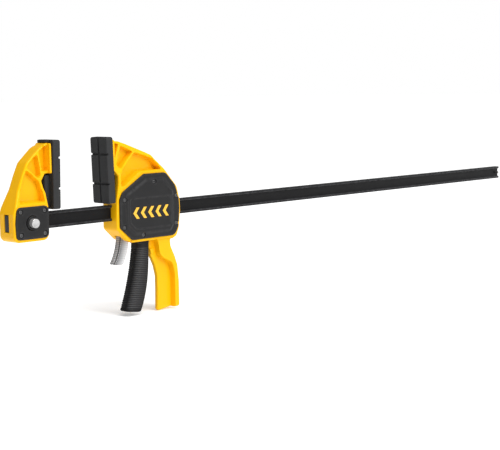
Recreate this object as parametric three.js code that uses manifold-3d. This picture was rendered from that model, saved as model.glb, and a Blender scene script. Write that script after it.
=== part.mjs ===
// One-handed bar clamp: a fixed jaw on the end of a steel I-bar, and a sliding jaw that a drive trigger
// steps along the bar and a release trigger lets go.
// Millimetres, +Z up, +X along the bar away from the fixed jaw, -Y on the side of the lock button.
// The origin is on the bar's top face, mid-thickness, under the fixed pad's gripping face.
import * as THREE from 'three'
import { mergeVertices } from 'three/addons/utils/BufferGeometryUtils.js'
import Module from 'manifold-3d'

const wasm = await Module()
wasm.setup()

// ---- driving dimensions ----
const GAP = 0.3                       // clearance left between touching pieces
const BAR = { x0: -76, x1: 1049, w: 9.5, h: 22.2, flange: 3.2, web: 4.2, steps: 16 }
const BAR_MID_Z = -BAR.h / 2
const PAD = { w: 36, z0: 3.4, z1: 95.6, t: 12, groove: 2, grooveDepth: 1.6, rows: [31, 72], chamfer: 3 }
const PAD_RIB = { w: 18, depth: 7.5, z0: 5, z1: 49 }
const PAD_LIP = { w: 20, depth: 6, z0: 92, z1: 95.6 }
const TOE_IN = 1.5                    // degrees each pad leans towards the other
const OPENING = 79                    // gap between the pads as drawn
const LOCK = { x: -48.5, z: BAR_MID_Z, hole: 4.0, shank: 3.65, button: 6.15, collar: 9.4 }
const BLOCK_HALF = 17                 // half thickness of the fixed jaw's lower block
const HOUSING_HALF = 16               // half thickness of the sliding jaw's housing
const COVER = { t: 2.2, seat: 0.3 }   // cover plates and the gap behind them
const SCREW = { head: 2.7, headH: 1.7, shank: 1.5, length: 4.2, bore: 3.1, hole: 1.8, spare: 0.5 }
const WEB_HALF = 3                    // half thickness of the recessed webs
const TRIGGER_PIVOT = { x: 146, z: -36, r: 3 }
const RELEASE_PIVOT = { x: 116, z: -43, r: 2.5 }

const COLOURS = {
  yellow: [0xf7c31a, 0.45, 0], black: [0x3a3a3c, 0.6, 0], steel: [0x2b2c2e, 0.45, 0.8],
  zinc: [0xb9bbbd, 0.4, 0.9], rubber: [0x464648, 0.9, 0], spring: [0x8d9094, 0.35, 1]
}

// ---- small tools ----
const deg = Math.PI / 180

// A closed geometry as a manifold solid, and back.
function solid (geometry) {
  const g = geometry.clone()
  g.deleteAttribute('normal')
  g.deleteAttribute('uv')
  const m = mergeVertices(g, 1e-4)
  const mesh = new wasm.Mesh({
    numProp: 3,
    vertProperties: new Float32Array(m.attributes.position.array),
    triVerts: new Uint32Array(m.index.array)
  })
  return new wasm.Manifold(mesh)
}

function geometryOf (manifold) {
  const mesh = manifold.getMesh()
  const g = new THREE.BufferGeometry()
  g.setAttribute('position', new THREE.BufferAttribute(new Float32Array(mesh.vertProperties), 3))
  g.setIndex(new THREE.BufferAttribute(new Uint32Array(mesh.triVerts), 1))
  return g
}

// An outline through [x, z, radius] corners, each corner rounded by its own radius. A corner that a bevel
// would use up stays sharp.
function outline (corners, bevel = 0) {
  const shape = new THREE.Shape()
  const n = corners.length
  corners.forEach(([x, z, r = 0], i) => {
    const here = new THREE.Vector2(x, z)
    const before = new THREE.Vector2(...corners[(i + n - 1) % n].slice(0, 2)).sub(here)
    const after = new THREE.Vector2(...corners[(i + 1) % n].slice(0, 2)).sub(here)
    const half = Math.abs(before.angleTo(after)) / 2
    const cut = r <= 1.5 * bevel ? 0 : Math.min(r / Math.tan(half), before.length() * 0.49, after.length() * 0.49)
    const a = here.clone().add(before.setLength(cut || 1e-9))
    const b = here.clone().add(after.setLength(cut || 1e-9))
    if (i === 0) shape.moveTo(a.x, a.y)
    else shape.lineTo(a.x, a.y)
    if (cut > 0) shape.quadraticCurveTo(here.x, here.y, b.x, b.y)
  })
  shape.closePath()
  return shape
}

// An XZ outline as a plate from y0 to y1, its edges bevelled by `bevel`, or its outline grown by `grow`.
function plate (corners, y0, y1, bevel = 0, grow = 0) {
  const g = new THREE.ExtrudeGeometry(outline(corners, bevel), {
    depth: y1 - y0 - 2 * (bevel + grow),
    curveSegments: 3,
    bevelEnabled: bevel + grow > 0,
    bevelThickness: bevel + grow,
    bevelSize: bevel,
    bevelOffset: grow - bevel,
    bevelSegments: 1
  })
  g.rotateX(Math.PI / 2)
  g.translate(0, y1 - bevel - grow, 0)
  return solid(g)
}

function box (x0, x1, y0, y1, z0, z1) {
  const g = new THREE.BoxGeometry(x1 - x0, y1 - y0, z1 - z0)
  g.translate((x0 + x1) / 2, (y0 + y1) / 2, (z0 + z1) / 2)
  return solid(g)
}

// A round bar along Y.
function rodY (x, z, r, y0, y1, segments = 20) {
  const g = new THREE.CylinderGeometry(r, r, y1 - y0, segments)
  g.translate(x, (y0 + y1) / 2, z)
  return solid(g)
}

// A body of revolution about a Y axis through (x, z); the profile is [radius, y] and starts and ends at r = 0.
function turnedY (x, z, profile, segments = 24) {
  const g = new THREE.LatheGeometry(profile.map(([r, y]) => new THREE.Vector2(r, y)), segments)
  g.translate(x, 0, z)
  return solid(g)
}

const group = new THREE.Group()

function add (name, shape, look) {
  const [color, roughness, metalness] = COLOURS[look]
  const material = new THREE.MeshStandardMaterial({ color, roughness, metalness, flatShading: true })
  const mesh = new THREE.Mesh(shape.isBufferGeometry ? shape : geometryOf(shape), material)
  mesh.name = name
  group.add(mesh)
  return mesh
}

// ---- the bar ----
// I-section, drawn in (y, z) and extruded along X in equal steps.
function iBar () {
  const w = BAR.w / 2
  const web = BAR.web / 2
  const top = -BAR.flange
  const low = -BAR.h + BAR.flange
  const s = new THREE.Shape()
  const right = [[w, -BAR.h], [w, low], [web, low + 1], [web, top - 1], [w, top], [w, 0]]
  s.moveTo(-w, -BAR.h)
  for (const [y, z] of right) s.lineTo(y, z)
  for (const [y, z] of right.slice(1).reverse()) s.lineTo(-y, z)
  s.closePath()
  const g = new THREE.ExtrudeGeometry(s, { depth: BAR.x1 - BAR.x0, steps: BAR.steps, bevelEnabled: false })
  g.rotateX(Math.PI / 2)
  g.rotateZ(Math.PI / 2)
  g.translate(BAR.x0, 0, 0)
  return solid(g)
    .subtract(rodY(LOCK.x, LOCK.z, LOCK.hole, -9, 9))
    .subtract(rodY(STOP_X, BAR_MID_Z, STOP_R + GAP, -9, 9, 12))
}
const STOP_X = BAR.x1 - 7
const STOP_R = 2
add('bar', iBar(), 'steel')
add('bar_stop_pin', rodY(STOP_X, BAR_MID_Z, STOP_R, -7.5, 7.5, 12), 'zinc')

// A slot for the bar with clearance all round.
function barSlot (x0, x1, room = GAP) {
  return box(x0, x1, -BAR.w / 2 - room, BAR.w / 2 + room, -BAR.h - room, room)
}

// ---- screws, shared by every cover ----
// side is -1 for the front and 1 for the back; face is the height of the cover's outer face above mid-plane.
function screwSolid (x, z, face, side) {
  const top = face - 0.4
  const profile = [[0, top - SCREW.headH - SCREW.length], [SCREW.shank, top - SCREW.headH - SCREW.length],
    [SCREW.shank, top - SCREW.headH], [SCREW.head, top - SCREW.headH], [SCREW.head, top], [0, top]]
  const g = new THREE.LatheGeometry(profile.map(([r, y]) => new THREE.Vector2(r, y)), 12)
  if (side < 0) g.rotateX(Math.PI)
  g.translate(x, 0, z)
  return solid(g)
}

function screwHoles (target, places, face) {
  let out = target
  for (const [x, z] of places) {
    for (const side of [-1, 1]) {
      const floor = side * (face - 0.4 - SCREW.headH - SCREW.length - SCREW.spare)
      out = out.subtract(rodY(x, z, SCREW.hole, Math.min(floor, side * 20), Math.max(floor, side * 20), 12))
    }
  }
  return out
}

// A cover plate on side -1 or 1 of a body of half thickness `half`, with its recessed screw holes.
function coverSolid (corners, half, side, places, raised = []) {
  const inner = half + COVER.seat
  const outer = inner + COVER.t
  const span = (a, b) => [Math.min(side * a, side * b), Math.max(side * a, side * b)]
  let out = plate(corners, ...span(inner, outer), 0.8)
  for (const [shape, height] of raised) out = out.add(plate(shape, ...span(inner + 0.5, outer + height), 0.6))
  for (const [x, z] of places) {
    out = out.subtract(rodY(x, z, SCREW.hole, ...span(0, 30), 12))
    out = out.subtract(rodY(x, z, SCREW.bore, ...span(outer - 0.4 - SCREW.headH - GAP, 30), 16))
  }
  return out
}

// ---- pads ----
// Drawn with the gripping face at x = 0 facing +X, then leaned and, for the sliding jaw, turned round.
function padSolid (lipped) {
  const c = PAD.chamfer
  const w = PAD.w / 2
  const face = new THREE.Shape()
  const around = [[w - c, PAD.z0], [w, PAD.z0 + c], [w, PAD.z1 - c], [w - c, PAD.z1]]
  face.moveTo(-w + c, PAD.z0)
  for (const [y, z] of around) face.lineTo(y, z)
  for (const [y, z] of around.slice().reverse().slice(0, 3)) face.lineTo(-y, z)
  face.closePath()
  const g = new THREE.ExtrudeGeometry(face, {
    depth: PAD.t - 2.4, bevelEnabled: true, bevelThickness: 1.2, bevelSize: 1.2, bevelOffset: -1.2, bevelSegments: 1
  })
  g.rotateX(Math.PI / 2)
  g.rotateZ(Math.PI / 2)
  g.translate(-PAD.t + 1.2, 0, 0)
  let pad = solid(g)
  pad = pad.add(box(-PAD.t - PAD_RIB.depth, -PAD.t + 1, -PAD_RIB.w / 2, PAD_RIB.w / 2, PAD_RIB.z0, PAD_RIB.z1))
  if (lipped) pad = pad.add(box(-PAD.t - PAD_LIP.depth, -PAD.t + 1.5, -PAD_LIP.w / 2, PAD_LIP.w / 2, PAD_LIP.z0, PAD_LIP.z1))
  const g2 = PAD.groove / 2
  pad = pad.subtract(box(-PAD.grooveDepth, 2, -g2, g2, 0, 110))
  for (const z of PAD.rows) pad = pad.subtract(box(-PAD.grooveDepth, 2, -40, 40, z - g2, z + g2))
  return pad
}
const PAD_MID_Z = 50.5  // height about which a pad leans
function leaned (g, turned) {
  g.translate(0, 0, -PAD_MID_Z)
  g.rotateY(TOE_IN * deg)
  if (turned) g.rotateZ(Math.PI)
  g.translate(turned ? OPENING : 0, 0, PAD_MID_Z)
  return g
}
function placedPad (turned) {
  return leaned(geometryOf(padSolid(!turned)), turned)
}
// What a pad needs cut away behind it, grown by the clearance.
function padRoom (turned) {
  const r = 0.35
  const back = -PAD.t + r
  let room = box(-PAD.t - r, 4, -30, 30, PAD.z0 - 2, PAD.z1 + 3)
  room = room.add(box(back - PAD_RIB.depth - 2 * r, back, -PAD_RIB.w / 2 - r, PAD_RIB.w / 2 + r, 0, PAD_RIB.z1 + r))
  if (!turned) room = room.add(box(back - PAD_LIP.depth - 2 * r, back, -PAD_LIP.w / 2 - r, PAD_LIP.w / 2 + r, PAD_LIP.z0 - r, 105))
  return solid(leaned(geometryOf(room), turned))
}

// ---- fixed jaw ----
const FIXED_SCREWS = [[-66.3, 4.2], [-28.6, 4.2], [-66.3, -26.2], [-28.6, -26.2]]
const FIXED_OUTLINE = [
  [-76, -36, 9], [-20.5, -36, 9], [-20.5, 10, 6], [-21, 26, 8], [-26, 42, 3], [-20, 51.6, 2],
  [-12.6, 51.6], [-11.6, 92.4], [-17, 91.5, 5], [-29, 85, 12], [-49, 67, 14], [-57, 50, 20],
  [-69, 20, 20], [-76, 2, 12]
]
// The arm is thinner than the block: this YZ outline, swept along X, trims the extruded blank.
function thickness (half, lowZ, armHalf, armZ, topZ) {
  const s = new THREE.Shape()
  const right = [[half, -60], [half, lowZ], [armHalf, armZ], [armHalf, topZ]]
  s.moveTo(-half, -60)
  for (const [y, z] of right) s.lineTo(y, z)
  s.lineTo(-armHalf, topZ)
  s.lineTo(-armHalf, armZ)
  s.lineTo(-half, lowZ)
  s.closePath()
  const g = new THREE.ExtrudeGeometry(s, { depth: 400, bevelEnabled: false })
  g.rotateX(Math.PI / 2)
  g.rotateZ(Math.PI / 2)
  g.translate(-100, 0, 0)
  return solid(g)
}
const FIXED_POCKETS = [
  // lower pocket, middle pocket and nose pocket, divided by ribs
  [[-65, 16.5, 2], [-26, 16.5, 2], [-27, 28, 4], [-31.5, 41, 3], [-49.5, 56.5, 2], [-55.5, 42, 8]],
  [[-48, 60.5, 2], [-32, 46.5, 2], [-29, 50, 2], [-30.5, 60, 4], [-33.5, 76.5, 2], [-43.5, 67, 6]],
  [[-25.5, 55.5, 2], [-16, 55.5, 1], [-15.7, 87.5, 1], [-22, 85.5, 3], [-29.5, 79.5, 2]]
]
// A pad is backed by a wide flange across the end of the thinner arm.
const FLANGE = { half: 15.5, z0: 51.8, z1: 91.5, depth: 3.4 }
function flange (x0, x1) {
  return box(x0, x1, -FLANGE.half, FLANGE.half, FLANGE.z0, FLANGE.z1)
}
function pocketed (blank, pockets, webHalf, reach) {
  let out = blank
  for (const corners of pockets) {
    out = out.subtract(plate(corners, -reach, -webHalf)).subtract(plate(corners, webHalf, reach))
  }
  return out
}
function fixedJaw () {
  let body = plate(FIXED_OUTLINE, -BLOCK_HALF, BLOCK_HALF, 2)
    .intersect(thickness(BLOCK_HALF, 9, 11, 32, 120))
  body = pocketed(body, FIXED_POCKETS, WEB_HALF, 30).add(flange(-PAD.t - FLANGE.depth, -PAD.t))
  body = body.subtract(padRoom(false))
  body = body.subtract(barSlot(-90, 0))
  body = body.subtract(rodY(LOCK.x, LOCK.z, LOCK.collar + 0.1, -40, 40, 28))
  return screwHoles(body, FIXED_SCREWS, BLOCK_HALF + COVER.seat + COVER.t)
}
add('fixed_jaw_body', fixedJaw(), 'yellow')

const FIXED_COVER = [[-73.2, -32.3, 6], [-22.3, -32.3, 7], [-21.8, 10.4, 7], [-71.5, 10.4, 7], [-74.2, -10, 30]]
function fixedCover (side) {
  const cover = coverSolid(FIXED_COVER, BLOCK_HALF, side, FIXED_SCREWS)
  return cover.subtract(rodY(LOCK.x, LOCK.z, LOCK.collar + GAP, -30, 30, 28))
}
add('fixed_jaw_front_cover', fixedCover(-1), 'black')
add('fixed_jaw_back_cover', fixedCover(1), 'black')

const CORNER_NAMES = ['upper_left', 'upper_right', 'lower_left', 'lower_right']
for (const [side, sideName] of [[-1, 'front'], [1, 'back']]) {
  FIXED_SCREWS.forEach(([x, z], i) => {
    const face = BLOCK_HALF + COVER.seat + COVER.t
    add(`fixed_${sideName}_screw_${CORNER_NAMES[i]}`, screwSolid(x, z, face, side), 'zinc')
  })
}

// ---- lock button through jaw and bar ----
const COLLAR = { y0: -21.3, y1: -5.6 }
const BUTTON = { face: -27.2, shoulder: -21.8, back: 22 }
const COLLAR_BORE = 6.6
// A guide collar each side, pressed into the jaw's bore; the front one guides the button.
function collar (sign) {
  const r = LOCK.collar - 0.2
  const ring = rodY(LOCK.x, LOCK.z, r, COLLAR.y0, COLLAR.y1, 28)
    .subtract(rodY(LOCK.x, LOCK.z, COLLAR_BORE, COLLAR.y0 - 1, COLLAR.y1 - 3, 24))
    .subtract(rodY(LOCK.x, LOCK.z, LOCK.hole, COLLAR.y0 - 1, COLLAR.y1 + 1, 20))
  return sign < 0 ? ring : ring.mirror([0, 1, 0])
}
add('button_collar', collar(-1), 'black')
add('clip_collar', collar(1), 'black')
add('release_button', turnedY(LOCK.x, LOCK.z, [
  [0, BUTTON.face], [LOCK.button - 0.8, BUTTON.face], [LOCK.button, BUTTON.face + 0.8],
  [LOCK.button, -17.5], [LOCK.shank, -17.5], [LOCK.shank, 14.6], [LOCK.shank - 1, 14.6],
  [LOCK.shank - 1, 16.6], [LOCK.shank, 16.6], [LOCK.shank, 17.6], [0, 17.6]
]), 'zinc')
// E-clip in the shank's groove; it stops the button at rest against the back collar's floor.
function eClip () {
  const ring = rodY(LOCK.x, LOCK.z, 6.1, 15.1, 16.1, 20).subtract(rodY(LOCK.x, LOCK.z, LOCK.shank - 0.7, 14, 17, 16))
  return ring.subtract(box(LOCK.x - 1.8, LOCK.x + 1.8, 14, 17, LOCK.z - 8, LOCK.z))
}
add('button_clip', eClip(), 'spring')

// A coil spring: a round wire along a helix about an axis in X or Y.
function coil (centre, axis, radius, wire, length, turns) {
  class Helix extends THREE.Curve {
    getPoint (t, target = new THREE.Vector3()) {
      const a = 2 * Math.PI * turns * t
      const u = radius * Math.cos(a)
      const v = radius * Math.sin(a)
      const along = (t - 0.5) * length
      if (axis === 'x') return target.set(along, u, v)
      return target.set(u, along, v)
    }
  }
  const section = new THREE.Shape()
  section.absarc(0, 0, wire, 0, 2 * Math.PI)
  const g = new THREE.ExtrudeGeometry(section, {
    extrudePath: new Helix(), steps: turns * 10, curveSegments: 3, bevelEnabled: false
  })
  g.translate(...centre)
  return solid(g)
}
const BUTTON_SPRING = { y0: -17, y1: -9.2 }
add('button_spring', coil([LOCK.x, (BUTTON_SPRING.y0 + BUTTON_SPRING.y1) / 2, LOCK.z], 'y', 5.1, 0.45,
  BUTTON_SPRING.y1 - BUTTON_SPRING.y0 - 1.2, 4), 'spring')

// ---- pads on their jaws ----
add('fixed_pad', placedPad(false), 'rubber')
add('sliding_pad', placedPad(true), 'rubber')

// ---- sliding jaw: housing, arm and rear handle in one moulding ----
const HOUSING_SCREWS = [[162, 29.5], [108, 7], [106.5, -32], [140, -45], [204, 6.5], [203, -33]]
const HOUSING_OUTLINE = [
  [94.4, -34, 6], [112, -50.5, 4], [121, -54.5, 4], [203, -54.5, 10], [210, -40, 12], [213, -15, 30],
  [212.5, 0, 16], [207, 20.5, 16], [184, 46.5, 14], [163, 67, 10], [150, 72.4, 10], [116, 85, 20],
  [104, 89, 10], [90.6, 90.4], [91, 50.6], [99.5, 41, 4], [99.5, 30, 6], [95.4, 8, 10]
]
const ARM_POCKETS = [
  [[96, 64, 0], [104, 84.5, 1], [96, 86, 0]],
  [[100.5, 57, 1], [103, 52.5, 2], [106, 51, 1], [130, 73.6, 1], [114.5, 80.2, 6], [107.5, 82.4, 1]],
  [[104.5, 28, 2], [110, 26.8, 2], [136, 45.2, 8], [150, 46, 8], [180, 46, 2], [164, 62.5, 8],
    [149, 67.8, 6], [133, 72, 1], [108.5, 48.4, 2], [104.5, 42, 3]]
]
const HOUSING_COVER = [
  [98.6, -32, 6], [120, -50.6, 5], [200, -50.6, 12], [206.6, -38, 10], [209.2, -12, 30], [208.4, 3, 14],
  [201.5, 22.5, 12], [184, 41.4, 10], [143.5, 41.4, 6], [104, 17.8, 9], [98.8, 8, 8]
]
const PLATEAU = [
  [108.5, -30, 6], [124, -45, 5], [193, -45, 8], [197.5, -34, 6], [197.5, 14, 10], [180.5, 34.5, 8],
  [147, 34.5, 6], [112, 14.5, 6], [108.5, 8, 5]
]
const BADGE = [[116, -26, 3], [126.5, -36, 3], [190.5, -36, 3], [190.5, 8, 3], [116, 8, 3]]
const CAVITY = [
  [103.5, -28], [108.5, -34], [112, -40], [121, -49.5], [134, -49.5], [136, -40], [144, -40], [146, -49.5],
  [197, -49.5], [198, -38], [197, -28], [206, -28], [206, 1.9], [199.5, 1.9], [199.5, 13], [181, 37],
  [167, 37], [166, 27], [158, 27], [157, 37], [147, 37], [113.5, 17], [111.5, 11], [112, 3], [103.5, 2]
]
const RELEASE_SLOT = { x0: 105.5, x1: 129, half: 6.9 }
const TRIGGER_SLOT = { x0: 133.5, x1: 162.6, half: 11.4 }
const HANDLE_WEB = [
  [160.4, -50, 0], [161.2, -67, 6], [164.7, -79, 10], [172, -94, 20], [175.9, -110, 20], [175.9, -130, 0],
  [175, -161, 3], [206, -156.2, 1], [206, -104, 6], [199.5, -84, 8], [192.5, -68, 6], [192, -50, 0]
]
const HANDLE_RIM = [
  [166.6, -50, 0], [171.5, -60, 6], [173.6, -76, 6], [179, -82, 6], [197, -92, 10], [201.2, -106, 12],
  [201.2, -157, 2.5], [210.4, -157, 3], [210.6, -120, 20], [208.4, -96, 20], [203.4, -82, 14], [196, -67, 8],
  [195.6, -58, 4], [201, -50, 0]
]
const RIM_HALF = 12.5
function housing () {
  let body = plate(HOUSING_OUTLINE, -HOUSING_HALF, HOUSING_HALF, 2)
    .intersect(thickness(HOUSING_HALF, 46, 13, 60, 120))
  body = pocketed(body, ARM_POCKETS, WEB_HALF, 30)
  body = body.add(flange(OPENING + PAD.t, OPENING + PAD.t + FLANGE.depth))
  body = body.add(plate(HANDLE_RIM, -RIM_HALF, RIM_HALF, 1.5))
  body = body.add(plate(HANDLE_WEB, -WEB_HALF - 0.5, WEB_HALF + 0.5, 1))
  body = body.add(rodY(165.6, -71.5, 4.6, -5.5, 5.5, 16))
  body = body.subtract(plate(CAVITY, -30, 30))
  body = body.subtract(barSlot(80, 240))
  body = body.subtract(box(RELEASE_SLOT.x0, RELEASE_SLOT.x1, -RELEASE_SLOT.half, RELEASE_SLOT.half, -60, -38))
  body = body.subtract(box(TRIGGER_SLOT.x0, TRIGGER_SLOT.x1, -TRIGGER_SLOT.half, TRIGGER_SLOT.half, -60, -38))
  for (const p of [TRIGGER_PIVOT, RELEASE_PIVOT]) {
    body = body.subtract(rodY(p.x, p.z, p.r + GAP, -13, 13, 20))
  }
  body = body.subtract(padRoom(true))
  return screwHoles(body, HOUSING_SCREWS, HOUSING_HALF + COVER.seat + COVER.t)
}
add('housing_body', housing(), 'yellow')

function housingCover (side) {
  const cover = coverSolid(HOUSING_COVER, HOUSING_HALF, side, HOUSING_SCREWS, [[PLATEAU, 1.4]])
  const outer = HOUSING_HALF + COVER.seat + COVER.t + 1.4
  const span = side < 0 ? [-outer - 3, -outer + 0.9] : [outer - 0.9, outer + 3]
  return cover.subtract(plate(BADGE, ...span))
}
add('housing_front_cover', housingCover(-1), 'black')
add('housing_back_cover', housingCover(1), 'black')
const SCREW_NAMES = ['top', 'left_upper', 'left_lower', 'bottom', 'right_upper', 'right_lower']
for (const [side, sideName] of [[-1, 'front'], [1, 'back']]) {
  HOUSING_SCREWS.forEach(([x, z], i) => {
    const face = HOUSING_HALF + COVER.seat + COVER.t
    add(`housing_${sideName}_screw_${SCREW_NAMES[i]}`, screwSolid(x, z, face, side), 'zinc')
  })
}


// ---- drive trigger ----
// A moulded core that turns on its pin under the bar, with a ribbed rubber sleeve on the lever.
const LEVER = [
  [137.2, -60, 1], [133, -84, 20], [129, -106, 20], [117, -142, 20], [113.4, -153.5, 3], [138.6, -156.6, 5],
  [148, -131, 20], [155.2, -106, 24], [154.6, -84, 20], [156.4, -60, 1]
]
const LEVER_CORE = [
  [142, -50, 1], [141, -70, 1], [138, -90, 10], [134, -112, 10], [122, -146, 3], [133, -149, 3],
  [143, -125, 10], [149, -104, 10], [149.5, -84, 10], [151.5, -60, 1], [151.5, -50, 1]
]
const TRIGGER_HEAD = [
  [138, -58.5, 1], [138, -42, 3], [141, -30, 5], [149, -28, 5], [153, -34, 2], [156.2, -41, 1.5], [156.2, -58.5, 1]
]
const HEAD_HALF = 10.6
function triggerCore () {
  let core = plate(TRIGGER_HEAD, -HEAD_HALF, HEAD_HALF, 0.6)
  core = core.add(plate(LEVER_CORE, -7, 7, 0.8))
  return core.subtract(rodY(TRIGGER_PIVOT.x, TRIGGER_PIVOT.z, TRIGGER_PIVOT.r + GAP, -20, 20, 20))
}
function grip () {
  return plate(LEVER, -11, 11, 2.5).subtract(plate(LEVER_CORE, -7 - 2 * GAP, 7 + 2 * GAP, 0, GAP))
}
add('drive_trigger', triggerCore(), 'black')
add('drive_trigger_grip', grip(), 'rubber')
add('drive_trigger_pin', rodY(TRIGGER_PIVOT.x, TRIGGER_PIVOT.z, TRIGGER_PIVOT.r, -12.7, 12.7, 20), 'zinc')

// ---- release trigger ----
const RELEASE = [
  [110.4, -38, 3], [121, -36.5, 3], [123, -52, 8], [119.4, -66, 12], [114, -78.5, 10], [108.6, -86.6, 2],
  [95.2, -84.6, 1.5], [101.2, -75.5, 8], [105.4, -62.5, 12], [108.6, -48, 6]
]
add('release_trigger', plate(RELEASE, -6.4, 6.4, 0.8)
  .subtract(rodY(RELEASE_PIVOT.x, RELEASE_PIVOT.z, RELEASE_PIVOT.r + GAP, -20, 20, 20)), 'zinc')
add('release_trigger_pin', rodY(RELEASE_PIVOT.x, RELEASE_PIVOT.z, RELEASE_PIVOT.r, -12.7, 12.7, 20), 'spring')

// ---- brake and drive plates on the bar, and their springs ----
const PLATE_HALF = 9
function barPlate (x0, x1, z0, z1, slack) {
  return box(x0, x1, -PLATE_HALF, PLATE_HALF, z0, z1).subtract(barSlot(x0 - 1, x1 + 1, slack))
}
const BRAKE = { x0: 113.5, x1: 117, z0: -33.5, z1: 11 }
add('brake_plate', barPlate(BRAKE.x0, BRAKE.x1, BRAKE.z0, BRAKE.z1, 1.1), 'steel')
const DRIVE = { x0: 157.4, t: 3, pitch: 3.3, count: 3, z0: -47, z1: 10 }
for (let i = 0; i < DRIVE.count; i++) {
  const x = DRIVE.x0 + i * DRIVE.pitch
  add(`drive_plate_${i + 1}`, barPlate(x, x + DRIVE.t, DRIVE.z0, DRIVE.z1, 0.5), 'steel')
}
const DRIVE_END = DRIVE.x0 + (DRIVE.count - 1) * DRIVE.pitch + DRIVE.t
const DRIVE_SPRING = { x0: DRIVE_END + 0.8, x1: 196 }
add('drive_spring', coil([(DRIVE_SPRING.x0 + DRIVE_SPRING.x1) / 2, 0, -34], 'x', 5.5, 0.9,
  DRIVE_SPRING.x1 - DRIVE_SPRING.x0 - 2.2, 6), 'spring')
const BRAKE_SPRING = { x0: BRAKE.x1 + 0.6, x1: 139 }
add('brake_spring', coil([(BRAKE_SPRING.x0 + BRAKE_SPRING.x1) / 2, 0, 6.6], 'x', 3.6, 0.6,
  BRAKE_SPRING.x1 - BRAKE_SPRING.x0 - 1.6, 5), 'spring')

// Plastic shoes that carry the housing on the bar, one at each end of the cavity.
function guideShoe (x0, x1) {
  return box(x0, x1, -8.5, 8.5, -26.6, 1.6).subtract(barSlot(x0 - 1, x1 + 1, 0.3))
}
add('bar_guide_front', guideShoe(104, 110), 'black')
add('bar_guide_rear', guideShoe(199.4, 205.4), 'black')

export default group
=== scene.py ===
"""Looks of a one-handed bar clamp: jaws, covers, pads, levers, bar and small parts, built around its CAD frame.

Lengths in the shape functions are millimetres; they become metres when a mesh is made.
"""
import math

import bpy
import numpy as np
from mathutils import Euler, Matrix, Vector


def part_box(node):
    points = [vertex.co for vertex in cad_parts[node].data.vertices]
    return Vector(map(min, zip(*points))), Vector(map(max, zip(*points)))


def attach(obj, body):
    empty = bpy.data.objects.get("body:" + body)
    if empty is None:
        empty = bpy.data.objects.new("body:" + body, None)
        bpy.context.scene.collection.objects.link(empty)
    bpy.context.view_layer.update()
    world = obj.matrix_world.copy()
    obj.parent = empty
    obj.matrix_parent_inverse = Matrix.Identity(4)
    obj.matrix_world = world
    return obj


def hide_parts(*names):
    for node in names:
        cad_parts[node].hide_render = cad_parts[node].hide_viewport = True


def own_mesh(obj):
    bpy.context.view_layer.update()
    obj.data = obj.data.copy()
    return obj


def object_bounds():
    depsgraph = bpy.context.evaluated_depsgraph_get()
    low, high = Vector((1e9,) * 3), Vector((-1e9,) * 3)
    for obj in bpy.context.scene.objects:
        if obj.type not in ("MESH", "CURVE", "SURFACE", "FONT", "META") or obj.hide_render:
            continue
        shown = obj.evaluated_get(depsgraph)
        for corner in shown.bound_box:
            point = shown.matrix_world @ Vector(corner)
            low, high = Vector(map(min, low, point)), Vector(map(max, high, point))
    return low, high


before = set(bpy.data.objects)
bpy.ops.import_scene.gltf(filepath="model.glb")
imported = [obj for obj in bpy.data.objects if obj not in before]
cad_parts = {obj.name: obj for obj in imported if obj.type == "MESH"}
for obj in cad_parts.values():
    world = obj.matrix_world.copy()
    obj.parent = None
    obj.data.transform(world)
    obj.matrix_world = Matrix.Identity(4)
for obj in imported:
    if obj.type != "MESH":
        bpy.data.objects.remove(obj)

CAD_BOX = [list(corner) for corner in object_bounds()]
MM = 0.001

bl_info = {
    "name": "Bar Clamp",
    "version": (1, 0, 0),
    "blender": (4, 5, 0),
    "location": "View3D > Sidebar > Clamp",
    "description": "Builds the visible pieces of a one-handed bar clamp and its studio",
    "category": "Add Mesh",
}


def node_box(name):
    """Lowest and highest corner of a CAD node, in millimetres."""
    low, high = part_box(name)
    return np.array(low) / MM, np.array(high) / MM


# ---------------------------------------------------------------- outlines and distances

def rounded_loop(corners, step=0.7):
    """A closed outline as an (n, 2) array.

    Each corner (a, b, radius) is replaced by the circular arc that touches both of its sides; the sides are
    cut into pieces of about `step`.
    """
    points = np.array([c[:2] for c in corners], float)
    radii = np.array([c[2] if len(c) > 2 else 0.0 for c in corners], float)
    before = np.roll(points, 1, 0) - points
    after = np.roll(points, -1, 0) - points
    len_b = np.linalg.norm(before, axis=1)
    len_a = np.linalg.norm(after, axis=1)
    before /= len_b[:, None]
    after /= len_a[:, None]
    half = np.arccos(np.clip((before * after).sum(1), -1, 1)) / 2
    cut = np.minimum(radii / np.tan(half), 0.49 * np.minimum(len_b, len_a))
    radius = cut * np.tan(half)
    pieces = []
    for i, corner in enumerate(points):
        if cut[i] < 1e-6:
            pieces.append(corner[None])
            continue
        bisector = before[i] + after[i]
        centre = corner + bisector / np.linalg.norm(bisector) * radius[i] / math.sin(half[i])
        first = corner + before[i] * cut[i] - centre
        last = corner + after[i] * cut[i] - centre
        turn = math.atan2(first[0] * last[1] - first[1] * last[0], first @ last)
        count = max(3, int(abs(turn) * radius[i] / step) + 2)
        angle = math.atan2(first[1], first[0]) + np.linspace(0, turn, count)
        pieces.append(centre + radius[i] * np.c_[np.cos(angle), np.sin(angle)])
    return np.concatenate(pieces)


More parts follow.
